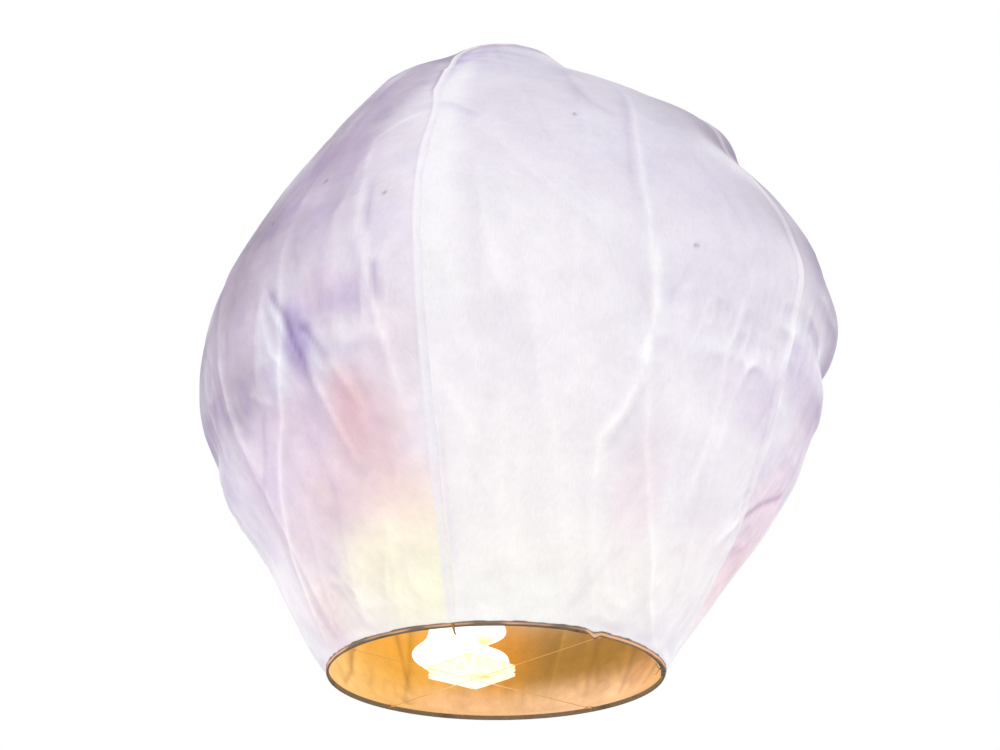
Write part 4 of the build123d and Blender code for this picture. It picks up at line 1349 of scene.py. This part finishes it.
class LANTERN_OT_pads(bpy.types.Operator):
    """The stack of waxed paper pads"""

    bl_idname = "lantern.pads"
    bl_label = "Fuel pads"

    def execute(self, context):
        finish = pad_finish()
        rows = PAD_ROWS
        ends = np.linspace(-1, 1, rows)
        u, v = np.meshgrid(np.sign(ends) * np.abs(ends) ** 0.8, np.sign(ends) * np.abs(ends) ** 0.8)
        for k in range(PADS):
            node = "fuel_pad_%d" % (k + 1)
            low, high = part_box(node)
            middle = np.array([(low.x + high.x) / 2, (low.y + high.y) / 2])
            turn = math.radians(PAD_TURN + PAD_ASKEW[k])
            cut = np.stack([u, v, np.full_like(u, 3.1 * k)], -1)
            rough = 1 + 0.007 * lumps(cut * 4.0, 91) + 0.003 * lumps(cut * 13.0, 92)
            corner = 1 - 0.020 * (np.abs(u * v)) ** 6
            x, y = (PAD_SIDE / 2 * 0.995 * w * rough * corner for w in (u, v))
            edge = np.clip((1 - np.maximum(np.abs(u), np.abs(v))) * 16, 0, 1) ** 0.5
            faces = [grid_faces(rows, rows), grid_faces(rows, rows, rows * rows, True)]
            layers = []
            for side in (1, -1):
                face_z = (high.z + low.z) / 2 + side * (high.z - low.z) / 2 * (0.62 + 0.34 * edge)
                face_z = face_z + side * 0.00006 * lumps(cut * 7.0, 93 + side)
                face_x = middle[0] + x * math.cos(turn) - y * math.sin(turn)
                face_y = middle[1] + x * math.sin(turn) + y * math.cos(turn)
                layers.append(np.stack([face_x, face_y, face_z], -1).reshape(-1, 3))
            faces.append(rim_faces(edge_loop(rows, rows), rows * rows))
            piece = add_piece("waxed_pad_%d" % (k + 1), np.vstack(layers), np.vstack(faces), [finish])
            outer = np.maximum(np.abs(u), np.abs(v)).ravel()
            pool_x = (layers[0][:, 0] - middle[0] - 0.010) / 0.016
            pool_y = (layers[0][:, 1] - middle[1] + 0.004) / 0.012
            pool = np.exp(-(pool_x**2) - pool_y**2)
            burn = 0.02 + 0.02 * k + 0.16 * outer**8 + (0.45 if k == PADS - 1 else 0.0)
            grade(piece, "scorch",
                  np.concatenate([burn, 0.03 + 0.16 * outer**8 + (0.42 * pool if k == 0 else 0.0)]))
            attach(piece, "fuel_cell")
            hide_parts(node)
        return {"FINISHED"}


class LANTERN_OT_tail(bpy.types.Operator):
    """The loose end of the front seam, which hangs a little below the hoop"""

    bl_idname = "lantern.tail"
    bl_label = "Seam tail"

    def execute(self, context):
        rows, columns = TAIL_ROWS, TAIL_COLUMNS
        u = np.linspace(0, 1, rows)[:, None] * np.ones((1, columns))
        v = np.linspace(-1, 1, columns)[None, :] * np.ones((rows, 1))
        front = TAIL_ANGLE + v * 0.55 * (1 - 0.55 * u) + 0.9 * u**2
        r = HOOP_OUTER + 0.0012 - 0.0016 * np.sin(u * 2.6) + 0.0003 * v**2
        z = 0.0030 - u * context.scene.lantern_paper.tail_length
        points = place_round(front, r, z)
        tint = np.ones(points.shape) * painted(TAIL_PAPER)
        # painted shade over one half of the tail's width, and a painted glow of half its colour on both faces
        tint = tint * (1 - 0.6 * np.clip(v, 0, 1))[..., None]
        piece = shell("seam_tail", points, PATCH_GAUGE, (tint, tint * 0.5), (tint, tint * 0.5), tissue_pair())
        flat = np.stack([v * 0.002, u * 0.011], -1).reshape(-1, 2)
        lay_uv(piece, np.vstack([flat, flat]))
        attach(piece, "frame")
        return {"FINISHED"}


class LANTERN_OT_flame(bpy.types.Operator):
    """The flame over the pads and the light it gives inside the bag"""

    bl_idname = "lantern.flame"
    bl_label = "Flame"

    def execute(self, context):
        low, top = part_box("fuel_pad_6")
        cx, cy, root = (top.x + low.x) / 2, (top.y + low.y) / 2, top.z + FLAME_GAP
        rows, sides = FLAME_ROWS, FLAME_SIDES
        h = np.linspace(0, 1, rows)[:, None] * np.ones((1, sides))
        a = np.linspace(0, 2 * math.pi, sides, endpoint=False)[None, :] * np.ones((rows, 1))
        tall = context.scene.lantern_flame.height
        body = FLAME_RADIUS * (1 - h) ** 0.55 * (1 + 0.35 * np.sin(h * math.pi))
        bite = np.exp(-((turn_gap(np.degrees(a), -6) / 86) ** 4) - ((h - 0.215) / 0.095) ** 2)
        fringe = np.exp(-((turn_gap(np.degrees(a), -4) / 40) ** 2) - ((h - 0.40) / 0.10) ** 2)
        left = np.exp(-((turn_gap(np.degrees(a), 192) / 66) ** 2) - ((h - 0.09) / 0.14) ** 2)
        lick = lumps(np.stack([np.cos(a) * 1.8, np.sin(a) * 1.8, h * 3.2], -1), 77)
        r = body * (1 - 0.66 * bite) + 0.020 * left + 0.002 * lick * np.sin(h * math.pi) ** 0.5
        r = np.maximum(r, FLAME_TIP)
        sway = 0.010 * np.sin(h * 3.1) * h
        points = np.stack([cx + r * np.cos(a) - sway, cy + r * np.sin(a), root + h * tall], -1)
        piece = add_piece("flame", points.reshape(-1, 3), tube_faces(rows, sides), [flame_finish()])
        piece.visible_shadow = False
        grade(piece, "burning",
              np.clip(1.0 - 0.62 * bite - 0.45 * fringe - 0.9 * np.clip(h - 0.8, 0, 1), 0, 1))
        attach(piece, "fuel_cell")
        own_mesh(piece)
        lamp = bpy.data.lights.new("flame_light", "POINT")
        lamp.energy = context.scene.lantern_flame.power
        lamp.color = (1.0, 0.68, 0.32)
        lamp.shadow_soft_size = 0.03
        holder = bpy.data.objects.new("flame_light", lamp)
        holder.location = (cx, cy, root + 0.5 * tall)
        context.scene.collection.objects.link(holder)
        return {"FINISHED"}


class LANTERN_PG_paper(bpy.types.PropertyGroup):
    gauge: FloatProperty(name="Paper gauge", description="Thickness of the tissue", default=0.00025,
                         unit="LENGTH")
    lap_width: FloatProperty(name="Lap width", description="Width of the glued lap at a seam",
                             default=0.0105, unit="LENGTH")
    lap_lift: FloatProperty(name="Lap lift", description="How far the lap stands over the next panel",
                            default=0.00045, unit="LENGTH")
    lap_light: FloatProperty(name="Lap light", description="How much paler the double paper of a lap is",
                             default=0.85, subtype="FACTOR")
    tail_length: FloatProperty(name="Tail length", description="Length of the seam's loose end",
                               default=0.011, unit="LENGTH")
    fold_shade: FloatProperty(name="Fold shade", description="Contrast between the two sides of a fold",
                              default=0.40)
    crest_light: FloatProperty(name="Crest light", description="How much lighter the crest of a fold is",
                               default=0.05)
    paper_share: FloatProperty(name="Paper share",
                               description="Share of the colour that the room light gives", default=0.62,
                               subtype="FACTOR")


class LANTERN_PG_lashing(bpy.types.PropertyGroup):
    turns: IntProperty(name="Turns", description="Turns of thread in each lashing", default=6, min=2)
    thread: FloatProperty(name="Thread radius", description="Radius of the lashing thread", default=0.00028,
                          unit="LENGTH")


class LANTERN_PG_flame(bpy.types.PropertyGroup):
    height: FloatProperty(name="Flame height", description="Height of the flame over the pads",
                          default=0.085, unit="LENGTH")
    power: FloatProperty(name="Flame light", description="Power of the light inside the bag", default=0.25,
                         unit="POWER")


class LANTERN_PG_stage(bpy.types.PropertyGroup):
    lens: FloatProperty(name="Lens", description="Focal length of the camera", default=138.59)
    distance: FloatProperty(name="Distance", description="How far in front the camera stands", default=3.5,
                            unit="LENGTH")
    sight: FloatProperty(name="Sight angle", description="How far below the mouth the camera looks from",
                         default=math.radians(16.2), unit="ROTATION")
    pitch: FloatProperty(name="Camera pitch", description="How far up the camera is tilted",
                         default=math.radians(20.65), unit="ROTATION")
    ambient: FloatProperty(name="Room light", description="Strength of the even light all round",
                           default=0.56)
    key: FloatProperty(name="Key light", description="Power of the large light at the upper right",
                       default=42.0, unit="POWER")
    fill: FloatProperty(name="Fill light", description="Power of the low light at the left", default=14.0,
                        unit="POWER")


class LANTERN_PT_sidebar(bpy.types.Panel):
    """Lists the steps that dress the lantern"""

    bl_label = "Sky lantern"
    bl_idname = "LANTERN_PT_sidebar"
    bl_space_type = "VIEW_3D"
    bl_region_type = "UI"
    bl_category = "Lantern"

    def draw(self, context):
        for step in STEPS:
            self.layout.operator(step.bl_idname)
        for group in (getattr(context.scene, name) for name in GROUPS):
            for name in group.__annotations__:
                self.layout.prop(group, name)


STEPS = (LANTERN_OT_stage, LANTERN_OT_tail, LANTERN_OT_panels, LANTERN_OT_crown, LANTERN_OT_hoop,
         LANTERN_OT_lashings, LANTERN_OT_wires, LANTERN_OT_pads, LANTERN_OT_flame)
GROUPS = {"lantern_paper": LANTERN_PG_paper, "lantern_lashing": LANTERN_PG_lashing,
          "lantern_flame": LANTERN_PG_flame, "lantern_stage": LANTERN_PG_stage}


def register():
    for kind in (*GROUPS.values(), *STEPS, LANTERN_PT_sidebar):
        bpy.utils.register_class(kind)
    for name, kind in GROUPS.items():
        setattr(bpy.types.Scene, name, PointerProperty(type=kind))


def unregister():
    for name in GROUPS:
        delattr(bpy.types.Scene, name)
    for kind in (LANTERN_PT_sidebar, *reversed(STEPS), *GROUPS.values()):
        bpy.utils.unregister_class(kind)


def main():
    register()
    for step in STEPS:
        group, name = step.bl_idname.split(".")
        getattr(getattr(bpy.ops, group), name)()


if __name__ == "__main__":
    main()
